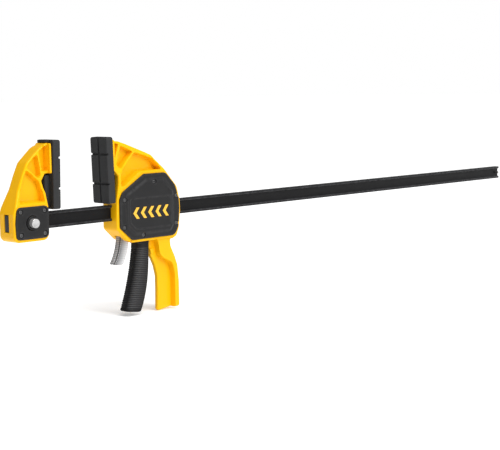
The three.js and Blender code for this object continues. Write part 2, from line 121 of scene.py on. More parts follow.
def loop_distance(points, loop):
    """Signed distance of each point to a closed outline, positive inside, and the nearest outline point.

    The distance to each side is that to its closest point; the side of the outline follows from how many
    sides a ray along the first axis crosses.
    """
    best = np.full(len(points), np.inf)
    near = np.zeros_like(points)
    inside = np.zeros(len(points), bool)
    for a, b in zip(loop, np.roll(loop, -1, 0)):
        ab = b - a
        t = np.clip(((points - a) @ ab) / max(ab @ ab, 1e-12), 0, 1)
        q = a + t[:, None] * ab
        d = ((points - q) ** 2).sum(1)
        closer = d < best
        best[closer] = d[closer]
        near[closer] = q[closer]
        if a[1] != b[1]:
            crosses = (a[1] > points[:, 1]) != (b[1] > points[:, 1])
            inside ^= crosses & (points[:, 0] < ab[0] * (points[:, 1] - a[1]) / ab[1] + a[0])
    return np.where(inside, 1, -1) * np.sqrt(best), near


def region_distance(points, outer, holes=()):
    """Signed distance to an outline with holes: the least of the outer distance and minus each hole's."""
    d, near = loop_distance(points, outer)
    for hole in holes:
        dh, nh = loop_distance(points, hole)
        closer = -dh < d
        d = np.where(closer, -dh, d)
        near[closer] = nh[closer]
    return d, near


def moved_to_level(points, d, near, level):
    """Each point moved along the distance's slope until its distance is `level`."""
    away = points - near
    length = np.maximum(np.linalg.norm(away, axis=1), 1e-9)
    slope = away / length[:, None] * np.sign(d)[:, None]
    return near + slope * level, slope


def ramp(x):
    """Smooth step from 0 to 1 as x goes from 0 to 1."""
    x = np.clip(x, 0, 1)
    return x * x * (3 - 2 * x)


def dome(d, height, radius):
    """Height of a flat boss over distance d from its edge, its edge a quarter circle of `radius`."""
    inner = np.clip(d, 0, radius)
    return np.where(d > 0, height - radius + np.sqrt(radius ** 2 - (radius - inner) ** 2), -1e3)


# ---------------------------------------------------------------- meshes

def make_object(name, shells, sharp=40):
    """One mesh object from closed shells, each (vertices in millimetres, rows of corner numbers, edge marks).

    A shell's faces are turned so that its volume, a sixth of the sum of its corners' triple products, is
    positive. The marks become the vertex attribute "edge": on moulded pieces 1 along an exposed edge and 0
    away from it, on the levers a share of painted highlight against painted shade.
    """
    corners, sizes, all_verts, all_marks, base = [], [], [], [], 0
    for verts, faces, marks in shells:
        volume = 0.0
        for f in faces:
            a = verts[f[:, 0]]
            for k in range(1, f.shape[1] - 1):
                volume += np.einsum("ij,ij->i", a, np.cross(verts[f[:, k]], verts[f[:, k + 1]])).sum()
        for f in faces:
            f = f if volume > 0 else f[:, ::-1]
            corners.append(f.reshape(-1) + base)
            sizes.append(np.full(len(f), f.shape[1]))
        all_verts.append(verts)
        all_marks.append(np.zeros(len(verts)) if marks is None else marks)
        base += len(verts)
    verts, corner = np.concatenate(all_verts) * MM, np.concatenate(corners)
    sizes, marks = np.concatenate(sizes), np.concatenate(all_marks)
    mesh = bpy.data.meshes.new(name)
    mesh.vertices.add(len(verts))
    mesh.vertices.foreach_set("co", verts.astype(np.float32).ravel())
    mesh.loops.add(len(corner))
    mesh.loops.foreach_set("vertex_index", corner.astype(np.int32))
    mesh.polygons.add(len(sizes))
    mesh.polygons.foreach_set("loop_start", np.r_[0, np.cumsum(sizes)[:-1]].astype(np.int32))
    layer = mesh.attributes.new("edge", "FLOAT", "POINT")
    layer.data.foreach_set("value", marks.astype(np.float32))
    mesh.update(calc_edges=True)
    mesh.validate()
    mesh.shade_smooth()
    mesh.set_sharp_from_angle(angle=math.radians(sharp))
    obj = bpy.data.objects.new(name, mesh)
    bpy.context.scene.collection.objects.link(obj)
    return obj


def grid_faces(rows, columns, closed_rows=False, closed_columns=False):
    """Corner numbers of the quads of a rows x columns grid, joined round where closed."""
    index = np.arange(rows * columns).reshape(rows, columns)
    if closed_rows:
        index = np.concatenate([index, index[:1]])
    if closed_columns:
        index = np.concatenate([index, index[:, :1]], 1)
    return np.stack([index[:-1, :-1], index[1:, :-1], index[1:, 1:], index[:-1, 1:]], -1).reshape(-1, 4)


def swept(grid, marks=None):
    """A closed shell from rings of points (rows, columns, 3), each end ring closed by one many-sided face."""
    rows, columns = grid.shape[:2]
    ring = np.arange(columns)[None]
    faces = [grid_faces(rows, columns, closed_columns=True), ring, (ring + (rows - 1) * columns)[:, ::-1]]
    return grid.reshape(-1, 3), faces, marks


def turned(profile, x, z, side=-1, segments=48):
    """A shell turned about a line along Y through (x, z).

    profile rows are (radius, height, share): the height is taken outwards on that side of the clamp, and
    where share is over 0 the radius is multiplied by 1 + share * 0.16 * cos(6 angle), a six-pointed socket.
    """
    angle = np.linspace(0, 2 * math.pi, segments, endpoint=False)
    p = np.array([(r, h, rest[0] if rest else 0.0) for r, h, *rest in profile], float)
    radius = p[:, :1] * (1 + p[:, 2:3] * 0.16 * np.cos(6 * angle))
    grid = np.stack([x + radius * np.cos(angle), np.repeat(side * p[:, 1:2], segments, 1),
                     z + radius * np.sin(angle)], -1)
    return swept(grid)


def slab(loop, low, high, bevel=0.3, place=None):
    """A shell over a closed outline between two heights, its upper edge cut by a bevel.

    The bevel ring is the outline moved inwards along the mean of the two sides' normals at each point.
    """
    side = np.roll(loop, -1, 0) - loop
    side /= np.linalg.norm(side, axis=1)[:, None]
    area = (loop[:, 0] * np.roll(loop[:, 1], -1) - np.roll(loop[:, 0], -1) * loop[:, 1]).sum()
    normal = np.c_[-side[:, 1], side[:, 0]] * np.sign(area)
    inward = normal + np.roll(normal, 1, 0)
    inward /= np.linalg.norm(inward, axis=1)[:, None]
    rings = [(loop, low), (loop, high - bevel), (loop + inward * bevel, high)]
    grid = np.stack([np.c_[points, np.full(len(loop), h)] for points, h in rings])
    marks = np.repeat([0.3, 1.0, 1.0], len(loop))
    verts, faces, marks = swept(grid, marks)
    return (front_place if place is None else place)(verts), faces, marks


def front_place(v):
    """(x, z, height) on the button side, where heights run towards -Y."""
    return np.c_[v[:, 0], -v[:, 2], v[:, 1]]


def back_place(v):
    """(x, z, height) on the far side, where heights run towards +Y."""
    return np.c_[v[:, 0], v[:, 2], v[:, 1]]


def relief(outer, heights, holes=(), rounding=2.0, pitch=1.0, creases=(), levels=(0.25, 0.5, 0.75),
           place=front_place, dent=None, back_rounding=None):
    """A shell for a moulded plate: two sheets of square cells over an outline, joined by its rounded wall.

    A point of the sheets is (a, b) with its two heights from heights(points), taken from the mid-plane. Cells
    nearer to the outline than `rounding` are left out and the last row is pulled onto that distance. From
    there the wall goes a quarter ellipse out to the outline, straight across, and a quarter ellipse back in.
    creases are (outline, distance) lines that nearby points are pulled onto, so that steps are clean.
    place turns (a, b, height) into (x, y, z); dent(points, height) moves wall points inwards.
    """
    low = outer.min(0) - pitch
    high = outer.max(0) + pitch
    na, nb = (np.ceil((high - low) / pitch)).astype(int) + 1
    ga, gb = np.meshgrid(low[0] + pitch * np.arange(na), low[1] + pitch * np.arange(nb), indexing="ij")
    points = np.c_[ga.ravel(), gb.ravel()]
    d, near = region_distance(points, outer, holes)
    keep = (d > rounding - 0.42 * pitch).reshape(na, nb)
    cells = keep[:-1, :-1] & keep[1:, :-1] & keep[1:, 1:] & keep[:-1, 1:]
    index = np.arange(na * nb).reshape(na, nb)
    quads = np.stack([index[:-1, :-1], index[1:, :-1], index[1:, 1:], index[:-1, 1:]], -1)[cells]
    used = np.unique(quads)
    renumber = np.full(na * nb, -1)
    renumber[used] = np.arange(len(used))
    quads = renumber[quads]
    points, d, near = points[used], d[used], near[used]

    edges = np.concatenate([quads[:, [k, (k + 1) % 4]] for k in range(4)])
    key = edges[:, 0] * len(used) + edges[:, 1]
    back_key = edges[:, 1] * len(used) + edges[:, 0]
    rim_edges = edges[~np.isin(key, back_key)]
    rim = np.unique(rim_edges)
    is_rim = np.zeros(len(used), bool)
    is_rim[rim] = True

    crease = np.zeros(len(used))
    for loop, level in creases:
        dl, nl = loop_distance(points, loop)
        close = (np.abs(dl - level) < 0.5 * pitch) & ~is_rim & (d > rounding + 0.5 * pitch)
        target, _ = moved_to_level(points, dl, nl, level)
        points[close] = target[close]
        crease = np.maximum(crease, np.exp(-((dl - level) / 1.1) ** 2))
    points[rim], slope = moved_to_level(points[rim], d[rim], near[rim], rounding)
    d[rim] = rounding

    front, back = heights(points)
    n = len(used)
    sheet_front = np.c_[points, front]
    sheet_back = np.c_[points, -back]
    edge_mark = np.maximum(crease, np.exp(-((d - rounding) / 1.5) ** 2))

    rb = rounding if back_rounding is None else back_rounding
    angle = np.linspace(0, math.pi / 2, 6)[1:]
    rings = []
    out = -slope
    rf, rz = front[rim], back[rim]
    for a in angle:
        rings.append(np.c_[points[rim] + out * rounding * math.sin(a), rf - rounding * (1 - math.cos(a))])
    top = rf - rounding
    bottom = -(rz - rb)
    for t in levels:
        rings.append(np.c_[points[rim] + out * rounding, top + (bottom - top) * t])
    for a in angle[::-1]:
        rings.append(np.c_[points[rim] + out * rounding * math.sin(a), -(rz - rb * (1 - math.cos(a)))])
    if dent is not None:
        rings = [np.c_[r[:, :2] - out * dent(r[:, :2], r[:, 2])[:, None], r[:, 2]] for r in rings]
    local = np.full(n, -1)
    local[rim] = np.arange(len(rim))
    verts = np.concatenate([sheet_front, sheet_back] + rings)
    a, b = rim_edges[:, 0], rim_edges[:, 1]
    columns = [(a, b)]
    for k in range(len(rings)):
        base = 2 * n + k * len(rim)
        columns.append((base + local[a], base + local[b]))
    columns.append((n + a, n + b))
    walls = [np.stack([c1[0], c1[1], c0[1], c0[0]], 1) for c0, c1 in zip(columns[:-1], columns[1:])]
    faces = [np.concatenate([quads, n + quads[:, ::-1]] + walls)]
    marks = np.concatenate([edge_mark, edge_mark] + [np.full(len(rim), 0.7)] * len(rings))
    return place(verts), faces, marks


# ---------------------------------------------------------------- outlines of the pieces, (x, z, corner radius)

FIXED_JAW = rounded_loop([
    (-76, -36, 9), (-20.5, -36, 9), (-20.5, 10, 6), (-21, 26, 8), (-26, 42, 3), (-20, 51.6, 2), (-12.6, 51.6),
    (-11.6, 92.4), (-17, 91.5, 5), (-29, 85, 12), (-49, 67, 14), (-57, 50, 20), (-69, 20, 20), (-76, 2, 12)])
FIXED_POCKETS = [rounded_loop(c) for c in (
    [(-66, 14.5, 2), (-24.5, 14.5, 2), (-25.5, 28, 4), (-30.6, 42, 3), (-49.4, 58.4, 2), (-56, 44, 8)],
    [(-48.6, 60.8, 2), (-31.4, 45.8, 2), (-27.4, 50, 2), (-28.4, 60, 4), (-31.6, 78.4, 2), (-43.5, 68, 6)],
    [(-25.6, 54.6, 2), (-15.4, 54.6, 1), (-15.4, 89, 1), (-21, 87.5, 3), (-29.6, 80.6, 2)])]
FIXED_COVER = rounded_loop([(-73.2, -32.3, 6), (-22.3, -32.3, 7), (-21.8, 10.4, 7), (-71.5, 10.4, 7),
                            (-74.2, -10, 30)])
HOUSING = rounded_loop([
    (94.4, -34, 6), (112, -50.5, 4), (121, -54.5, 4), (203, -54.5, 10), (210, -40, 12), (213, -15, 30),
    (212.5, 0, 16), (207, 20.5, 16), (184, 46.5, 14), (163, 67, 10), (150, 72.4, 10), (116, 85, 20),
    (104, 89, 10), (90.6, 90.4), (91, 50.6), (99.5, 41, 4), (99.5, 30, 6), (95.4, 8, 10)])
HANDLE = rounded_loop([
    (166.6, -50, 0), (171.5, -60, 6), (173.6, -76, 6), (179, -82, 6), (197, -92, 10), (201.2, -106, 12),
    (201.2, -157, 2.5), (210.4, -157, 3), (210.6, -120, 20), (208.4, -96, 20), (203.4, -82, 14), (196, -67, 8),
    (195.6, -58, 4), (201, -50, 0)])
HOUSING_AND_HANDLE = rounded_loop([
    (94.4, -34, 6), (112, -50.5, 4), (121, -54.5, 4), (160.8, -54.5, 1), (161.2, -67, 6), (164.7, -79, 10),
    (172, -94, 20), (175.9, -110, 20), (175.9, -130, 0), (175, -161, 3), (201.5, -157.2, 1), (210.4, -157, 3),
    (210.6, -120, 20), (208.4, -96, 20), (203.4, -82, 14), (196, -67, 8), (195.4, -57, 3), (205, -52, 6),
    (210, -40, 12), (213, -15, 30), (212.5, 0, 16), (207, 20.5, 16), (184, 46.5, 14), (163, 67, 10),
    (150, 72.4, 10), (116, 85, 20), (104, 89, 10), (90.6, 90.4), (91, 50.6), (99.5, 41, 4), (99.5, 30, 6),
    (95.4, 8, 10)])
ARM_POCKETS = [rounded_loop(c) for c in (
    [(95, 62, 1), (103.4, 85.6, 1), (95, 87.4, 1)],
    [(98.4, 57, 1), (101.5, 52.3, 2), (105.3, 51, 1), (128.6, 73.6, 1), (114.5, 80.0, 6), (106.5, 83, 1)],
    [(103.6, 26.6, 2), (109, 25.6, 2), (136, 44.6, 8), (150, 45.4, 8), (179.6, 45.8, 2), (163.4, 62.4, 8),
     (148.5, 67.8, 6), (131.6, 72.6, 1), (107.4, 49.2, 2), (103.6, 42, 3)])]
MECHANISM_WELL = rounded_loop([
    (103.5, -28), (108.5, -34), (112, -40), (121, -49.5), (134, -49.5), (136, -40), (144, -40), (146, -49.5),
    (197, -49.5), (198, -38), (197, -28), (206, -28), (206, 1.9), (199.5, 1.9), (199.5, 13), (181, 37),
    (167, 37), (166, 27), (158, 27), (157, 37), (147, 37), (113.5, 17), (111.5, 11), (112, 3), (103.5, 2)])
HOUSING_COVER = rounded_loop([
    (98.6, -32, 6), (120, -50.6, 5), (200, -50.6, 12), (206.6, -38, 10), (209.2, -12, 30), (208.4, 3, 14),
    (201.5, 22.5, 12), (184, 41.4, 10), (143.5, 41.4, 6), (104, 17.8, 9), (98.8, 8, 8)])
PLATEAU = rounded_loop([
    (109.5, -30, 6), (125, -44, 5), (191, -44, 8), (197.5, -34, 6), (197.5, 14, 10), (180.5, 34.5, 8),
    (147, 34.5, 6), (112, 15.5, 6), (109.5, 8, 5)])
BADGE = rounded_loop([(116, -26, 3), (126.5, -36, 3), (190.5, -36, 3), (190.5, 8, 3), (116, 8, 3)])
SIDE_STRIP = rounded_loop([(101.2, -27, 1), (109, -27, 1), (109, 2.5, 1), (101.2, 2.5, 1)])
FIXED_SCREWS = [(-66.3, 4.2), (-28.6, 4.2), (-66.3, -26.2), (-28.6, -26.2)]
HOUSING_SCREWS = [(162, 29.5), (108, 7), (106.5, -32), (140, -45), (204, 6.5), (203, -33)]
BLOCK_HALF, HOUSING_HALF, HANDLE_HALF, WEB_HALF = 17.0, 16.0, 12.5, 3.0
COVER_SEAT, COVER_THICKNESS, PLATEAU_RISE = 0.3, 2.2, 1.4
HOUSING_EDGE = 1.8
WELL_RADIUS, WELL_WALL = 3.9, 0.8
BADGE_DEPTH = 0.9
STOP_X, STOP_Z, STOP_HALF = 165.6, -71.5, 5.5
LOCK_X, LOCK_Z = -48.5, -11.1
BAR_LOW = -22.2


def circle(x, z, radius, count=48):
    """A round outline as an (n, 2) array."""
    angle = np.linspace(0, 2 * math.pi, count, endpoint=False)
    return np.c_[x + radius * np.cos(angle), z + radius * np.sin(angle)]


def sunk(points, height, pockets, floor, draft=1.0):
    """Heights lowered to `floor` inside each pocket; the pocket's wall leans over `draft` millimetres."""
    for loop in pockets:
        d, _ = loop_distance(points, loop)
        share = np.clip(d / draft, 0, 1)
        height = height * (1 - share) + np.minimum(height, floor) * share
    return height


def wall_creases(loops, draft=1.0):
    """The two lines, at the top and the foot, of each pocket's wall."""
    return [(loop, level) for loop in loops for level in (0.0, draft)]


def fixed_jaw_shells():
    """The yellow moulding of the fixed jaw with its pockets, and the wide plate that backs its pad."""
    def heights(points):
        # The block's half thickness up to z = 9, then a straight line down to the arm's 11 at z = 32.
        half = np.interp(points[:, 1], [9, 32], [BLOCK_HALF, 11])
        half = sunk(points, half, FIXED_POCKETS, WEB_HALF)
        return half, half

    def end_window(points, height):
        # The bar's end lies 2.5 mm inside its window in the jaw's end face, beside a scored line.
        inside = (points[:, 0] < -72) & (points[:, 1] > BAR_LOW - 0.8) & (points[:, 1] < 0.6)
        line = inside & (np.abs(height - 9) < 0.5)
        return np.where(inside & (np.abs(height) < 5.4), 2.5, 0.0) + np.where(line, 0.45, 0.0)

    body = relief(FIXED_JAW, heights, holes=[circle(LOCK_X, LOCK_Z, 9.5)], creases=wall_creases(FIXED_POCKETS),
                  levels=(0.1, 0.175, 0.19, 0.2, 0.21, 0.225, 0.315, 0.335, 0.4, 0.5, 0.6, 0.665, 0.685, 0.7, 0.8,
                          0.9),
                  dent=end_window)
    return [body, backing_plate(-15.3, -12.2)]


def backing_plate(x0, x1):
    """The flat plate behind a pad: an outline in (y, z) carried from x0 to x1."""
    loop = rounded_loop([(-15.5, 51.8, 1.5), (15.5, 51.8, 1.5), (15.5, 91.5, 2.5), (-15.5, 91.5, 2.5)])
    reach = abs(x1 - x0)
    towards = 1 if x1 > x0 else -1
    return slab(loop, 0, reach, 0.5, lambda v: np.c_[x0 + towards * v[:, 2], v[:, 0], v[:, 1]])


def housing_shells():
    """The sliding jaw's yellow moulding: body, arm with pockets, and handle of a wide rim and a thin web."""
    def heights(points):
        # The greatest of the body, rim, stop boss and web; body and rim have quarter-round edges.
        half = np.interp(points[:, 1], [46, 60], [HOUSING_HALF, 13])
        body, _ = loop_distance(points, HOUSING)
        rim, _ = loop_distance(points, HANDLE)
        half = sunk(points, half, ARM_POCKETS, WEB_HALF)
        half = np.minimum(half, dome(body, HOUSING_HALF, HOUSING_EDGE))
        half = np.maximum(half, dome(rim, HANDLE_HALF, HOUSING_EDGE))
        stop = STOP_HALF - np.maximum(np.hypot(points[:, 0] - STOP_X, points[:, 1] - STOP_Z) - 3.6, 0) * 2
        half = np.maximum(np.maximum(half, stop), WEB_HALF + 0.5)
        return half, half

    def lever_mouths(points, height):
        # The two slots in the underside that the levers come out of.
        under = points[:, 1] < -36
        release = under & (points[:, 0] > 106) & (points[:, 0] < 128.5) & (np.abs(height) < 7)
        drive = under & (points[:, 0] > 134) & (points[:, 0] < 160) & (np.abs(height) < 11.6)
        return np.where(release | drive, 3.0, 0.0)

    creases = wall_creases(ARM_POCKETS) + [(HANDLE, -0.1), (HANDLE, 0.9), (HOUSING, -0.1), (HOUSING, 0.9)]
    body = relief(HOUSING_AND_HANDLE, heights, holes=[MECHANISM_WELL], creases=creases,
                  levels=(0.05, 0.12, 0.17, 0.25, 0.275, 0.4, 0.5, 0.6, 0.725, 0.75, 0.83, 0.88, 0.95),
                  dent=lever_mouths)
    return [body, backing_plate(94.3, 91.2)]


def screw_wells(points, height, screws, depth=2.0):
    """Heights lowered round each screw by a round well with a leaning wall."""
    for x, z in screws:
        r = np.hypot(points[:, 0] - x, points[:, 1] - z)
        height = height - depth * np.clip((WELL_RADIUS - r) / WELL_WALL, 0, 1)
    return height


def well_creases(screws):
    """The two lines, at the top and the foot, of each screw well's wall."""
    return [(circle(x, z, WELL_RADIUS), level) for x, z in screws for level in (0.0, WELL_WALL)]


def fixed_cover_shells(place):
    """A flat cover plate with a round hole for the lock's collar and four screw wells."""
    inner, outer = BLOCK_HALF + COVER_SEAT, BLOCK_HALF + COVER_SEAT + COVER_THICKNESS

    def heights(points):
        rise = 0.25 * ramp((loop_distance(points, FIXED_COVER)[0] - 2.5) / 1.5)
        top = screw_wells(points, outer - 0.25 + rise, FIXED_SCREWS)
        return top, np.full(len(points), -inner)

    return [relief(FIXED_COVER, heights, holes=[circle(LOCK_X, LOCK_Z, 9.6)], rounding=0.9, pitch=0.7,
                   creases=well_creases(FIXED_SCREWS), levels=(0.5,), place=place, back_rounding=0.2)]


def housing_cover_shells(place):
    """The sliding jaw's cover: a raised plateau, a sunk badge panel, a raised side strip and screw wells."""
    inner, outer = HOUSING_HALF + COVER_SEAT, HOUSING_HALF + COVER_SEAT + COVER_THICKNESS

    def heights(points):
        plateau, _ = loop_distance(points, PLATEAU)
        badge, _ = loop_distance(points, BADGE)
        x, z = points.T
        # The plateau's bevel is 2.8 mm wide; a wider slope runs down its right side and upper right corner,
        # and a slanted strip climbs to it on the left.
        right = (x > 186) & (z > -35) & (z < 8)
        corner = (x > 178) & (z > 16) & (z < 36)
        top = outer + PLATEAU_RISE * np.clip(plateau / np.where(right | corner, 8.0, 2.8), 0, 1)
        strip = loop_distance(points, SIDE_STRIP)[0] > 0
        top = np.where(strip, np.maximum(top, outer + PLATEAU_RISE * (x - 100.5) / 8.5), top)
        top = top - BADGE_DEPTH * np.clip(badge, 0, 1)
        dimple = np.hypot(points[:, 0] - 123.5, points[:, 1] - 20.4)
        top = top - 0.8 * np.clip((2.6 - dimple) / 0.8, 0, 1)
        return screw_wells(points, top, HOUSING_SCREWS), np.full(len(points), -inner)

    creases = [(PLATEAU, 0.0), (PLATEAU, 2.8), (BADGE, 0.0), (BADGE, 1.0), (SIDE_STRIP, 0.0)]
    return [relief(HOUSING_COVER, heights, rounding=1.0, pitch=0.9, creases=creases + well_creases(HOUSING_SCREWS),
                   levels=(0.5,), place=place, back_rounding=0.2)]


def chevron_shells(place, count=5):
    """A row of plain pointers on the badge panel, all aiming at the fixed jaw."""
    level = HOUSING_HALF + COVER_SEAT + COVER_THICKNESS + PLATEAU_RISE - BADGE_DEPTH
    shells = []
    for k in range(count):
        x = 121.5 + 13.6 * k
        loop = rounded_loop([(x, -13, 0.4), (x + 6, -5, 0.4), (x + 11.4, -5, 0.4), (x + 5.4, -13, 0.4),
                             (x + 11.4, -21, 0.4), (x + 6, -21, 0.4)])
        shells.append(slab(loop, level - 0.3, level + 0.45, 0.15, place))
    return shells


def screw_shells(screws, face, side):
    """Pan-head screws with a six-pointed socket, heads 0.4 mm below the cover's face."""
    top = face - 0.4
    profile = [(0.6, top - 1.1, 1), (1.15, top - 1.0, 1), (1.25, top - 0.12, 1), (1.45, top, 0.4), (2.0, top - 0.05),
               (2.45, top - 0.25), (2.7, top - 0.7), (2.7, top - 1.7), (1.5, top - 1.75), (1.5, top - 5.8)]
    return [turned(profile, x, z, side) for x, z in screws]


PAD_MIDDLE_Z = 50.5
TOE_IN = math.radians(1.5)
GAP_BETWEEN_PADS = 79.0


def pad_place(sliding):
    """(y, z, height) to the pad's place: leaned by the toe-in about its middle, then turned round if sliding."""
    def place(v):
        y, z, x = v[:, 0], v[:, 1] - PAD_MIDDLE_Z, v[:, 2]
        leaned_x = x * math.cos(TOE_IN) + z * math.sin(TOE_IN)
        leaned_z = z * math.cos(TOE_IN) - x * math.sin(TOE_IN) + PAD_MIDDLE_Z
        if sliding:
            return np.c_[GAP_BETWEEN_PADS - leaned_x, -y, leaned_z]
        return np.c_[leaned_x, y, leaned_z]
    return place


def pad_shells(sliding):
    """A rubber jaw pad: a block grooved by one upright and two level channels, a rib and, if fixed, a lip behind."""
    outline = rounded_loop([(-18, 3.4, 3), (18, 3.4, 3), (18, 95.6, 3.5), (-18, 95.6, 3.5)])
    place = pad_place(sliding)

    def heights(points):
        away = np.minimum(np.abs(points[:, 0]), np.minimum(np.abs(points[:, 1] - 31), np.abs(points[:, 1] - 72)))
        face = -2.4 * np.clip((1.5 - away) / 0.4, 0, 1)
        return face, np.full(len(points), 12.0)

    block = relief(outline, heights, rounding=1.3, pitch=0.5, levels=(0.25, 0.5, 0.75), place=place)
    rib = slab(rounded_loop([(-9, 5.4, 1), (9, 5.4, 1), (9, 49, 1), (-9, 49, 1)]), 11.5, 19.5, 0.8,
               lambda v: place(v * [1, 1, -1]))
    if sliding:
        return [block, rib]
    lip = slab(rounded_loop([(-10, 92.1, 1), (10, 92.1, 1), (10, 95.5, 1), (-10, 95.5, 1)]), 11, 17.9, 0.8,
               lambda v: place(v * [1, 1, -1]))
    return [block, rib, lip]


def bar_shells(low_x, high_x):
    """The I-section bar: one rounded section carried along X, the web sunk by fillets between the flanges."""
    half, web, flange = 4.75, 2.1, 3.2
    right = [(half, 0, 0.5), (half, -flange, 0.5), (web, -flange - 1.0, 1.0), (web, BAR_LOW + flange + 1.0, 1.0),
             (half, BAR_LOW + flange, 0.5), (half, BAR_LOW, 0.5)]
    section = rounded_loop(right + [(-y, z, r) for y, z, r in right[::-1]], step=0.25)
    x = np.r_[low_x, low_x + 0.3, np.linspace(low_x + 10, high_x - 10, 60), high_x - 0.3, high_x]
    grid = np.empty((len(x), len(section), 3))
    grid[..., 0] = x[:, None]
    grid[..., 1:] = section
    for end in (0, -1):
        grid[end, :, 1:] = (section - [0, BAR_LOW / 2]) * 0.97 + [0, BAR_LOW / 2]
    corner = (np.abs(np.abs(section[:, 0]) - half) < 0.45) & (
        (np.abs(section[:, 1]) < 0.45) | (np.abs(section[:, 1] - BAR_LOW) < 0.45)
        | (np.abs(section[:, 1] + flange) < 0.45) | (np.abs(section[:, 1] - BAR_LOW - flange) < 0.45))
    marks = np.tile(corner.astype(float), len(x))
    return [swept(grid, marks)]


def bar_end_shade_plug_shells(end_x):
    """A dark plug across the bar's end inside the jaw's window: its face stands for the bar's dark end, and where it
    fills the recesses of the I-section it stands in for their shade.
    """
    loop = rounded_loop([(-4.4, BAR_LOW + 0.6, 0.6), (4.4, BAR_LOW + 0.6, 0.6), (4.4, -0.6, 0.6), (-4.4, -0.6, 0.6)])
    return [slab(loop, -2.5, 0.35, 0.3, lambda v: np.c_[end_x - v[:, 2], v[:, 0], v[:, 1]])]


def through_points(points, t, degree=3):
    """A smooth line near a row of points: each coordinate a least-squares polynomial of the share of length."""
    points = np.array(points, float)
    length = np.r_[0, np.cumsum(np.linalg.norm(np.diff(points, axis=0), axis=1))]
    length /= length[-1]
    return np.stack([np.polyval(np.polyfit(length, points[:, k], degree), t) for k in (0, 1)], -1)


TIP_RADIUS = 2.4
SLEEVE_LENGTH, RELEASE_LENGTH = 99, 50
RIB_DEPTH, TOOTH_DEPTH = 0.8, 1.1


def lever_grid(left, right, section, width, rows, relief_depth):
    """Rings of a lever between a left and a right edge line.

    Each ring is the section, given as (x from the left edge, y), with its part beyond half of `width` moved
    so that it ends on the right edge. relief_depth(t, section) gives how far points go inwards along x, what
    share they go inwards along y, and how light they are painted: a share of painted highlight against
    painted shade.
    """
    t = np.linspace(0, 1, rows)
    a, b = through_points(left, t), through_points(right, t)
    span = b - a
    reach = np.linalg.norm(span, axis=1)
    along = span / reach[:, None]
    x = np.where(section[:, 0] > width / 2, section[None, :, 0] + (reach[:, None] - width), section[None, :, 0])
    y = np.repeat(section[None, :, 1], rows, 0)
    dx, dy, painted_light_share = relief_depth(t, section)
    x, y = x + dx, y * (1 - dy)
    grid = np.empty((rows, len(section), 3))
    grid[..., 0] = a[:, None, 0] + along[:, None, 0] * x
    grid[..., 2] = a[:, None, 1] + along[:, None, 1] * x
    grid[..., 1] = y
    # The tip is rounded by a quarter circle: the ring loses radius - sqrt(radius^2 - (radius - distance)^2).
    middle = grid.mean(1, keepdims=True)
    step = np.linalg.norm(np.diff(middle[:, 0], axis=0), axis=1)
    distance = np.append(np.cumsum(step[::-1])[::-1], 0)
    lost = TIP_RADIUS - np.sqrt(TIP_RADIUS ** 2 - np.clip(TIP_RADIUS - distance, 0, TIP_RADIUS) ** 2)
    grid = middle + (grid - middle) * (1 - lost / (reach / 2))[:, None, None]
    return grid, painted_light_share.ravel()


def grip_shells(pitch):
    """The drive lever's sleeve: an oval lever crossed by fine ribs, its two end bands left smooth."""
    left = [(137.7, -55.8), (134.8, -75), (131.8, -92), (127.5, -111), (120.5, -132), (113.4, -153.5)]
    right = [(156.6, -55.8), (155.2, -75), (155.4, -92), (153.5, -111), (147.5, -132), (138.6, -156.6)]
    width = 20.0
    section = rounded_loop([(0, 11, 6.0), (0, -11, 7.5), (width, -11, 3.4), (width, 11, 6)], step=0.5)
    side = np.clip((width * 0.72 - section[:, 0]) / 3.0, 0, 1)
    # Painted highlight: a light band runs down the flank; the front is painted greyer, and darker again towards the
    # handle, as painted shade.
    flank = np.interp(section[:, 1], [-11, -8, -4, 2, 6, 9], [1.0, 0.8, 0.1, 0.0, 0.45, 0.6])
    front = np.interp(section[:, 0], [6, 11, 15, 20], [1.0, 0.85, 0.4, 0.2])
    light = np.where(section[:, 0] < 6, flank, front)

    def ribs(t, section):
        # Each rib is a raised round with a narrow valley. The valleys are painted dark as shade, and the two smooth
        # end bands are painted darker.
        phase = np.abs(np.sin(math.pi * t * SLEEVE_LENGTH / pitch))
        band = ramp((t - 0.075) / 0.02) * ramp((0.965 - t) / 0.02)
        valley = (1 - phase) ** 1.3 * band
        dx = valley[:, None] * RIB_DEPTH * (section[None, :, 0] < 3)
        dy = valley[:, None] * 0.085 * side[None, :]
        return dx, dy, (1 - valley[:, None]) * light[None, :] * (0.2 + 0.8 * band[:, None])

    return [swept(*lever_grid(left, right, section, width, 420, ribs))]


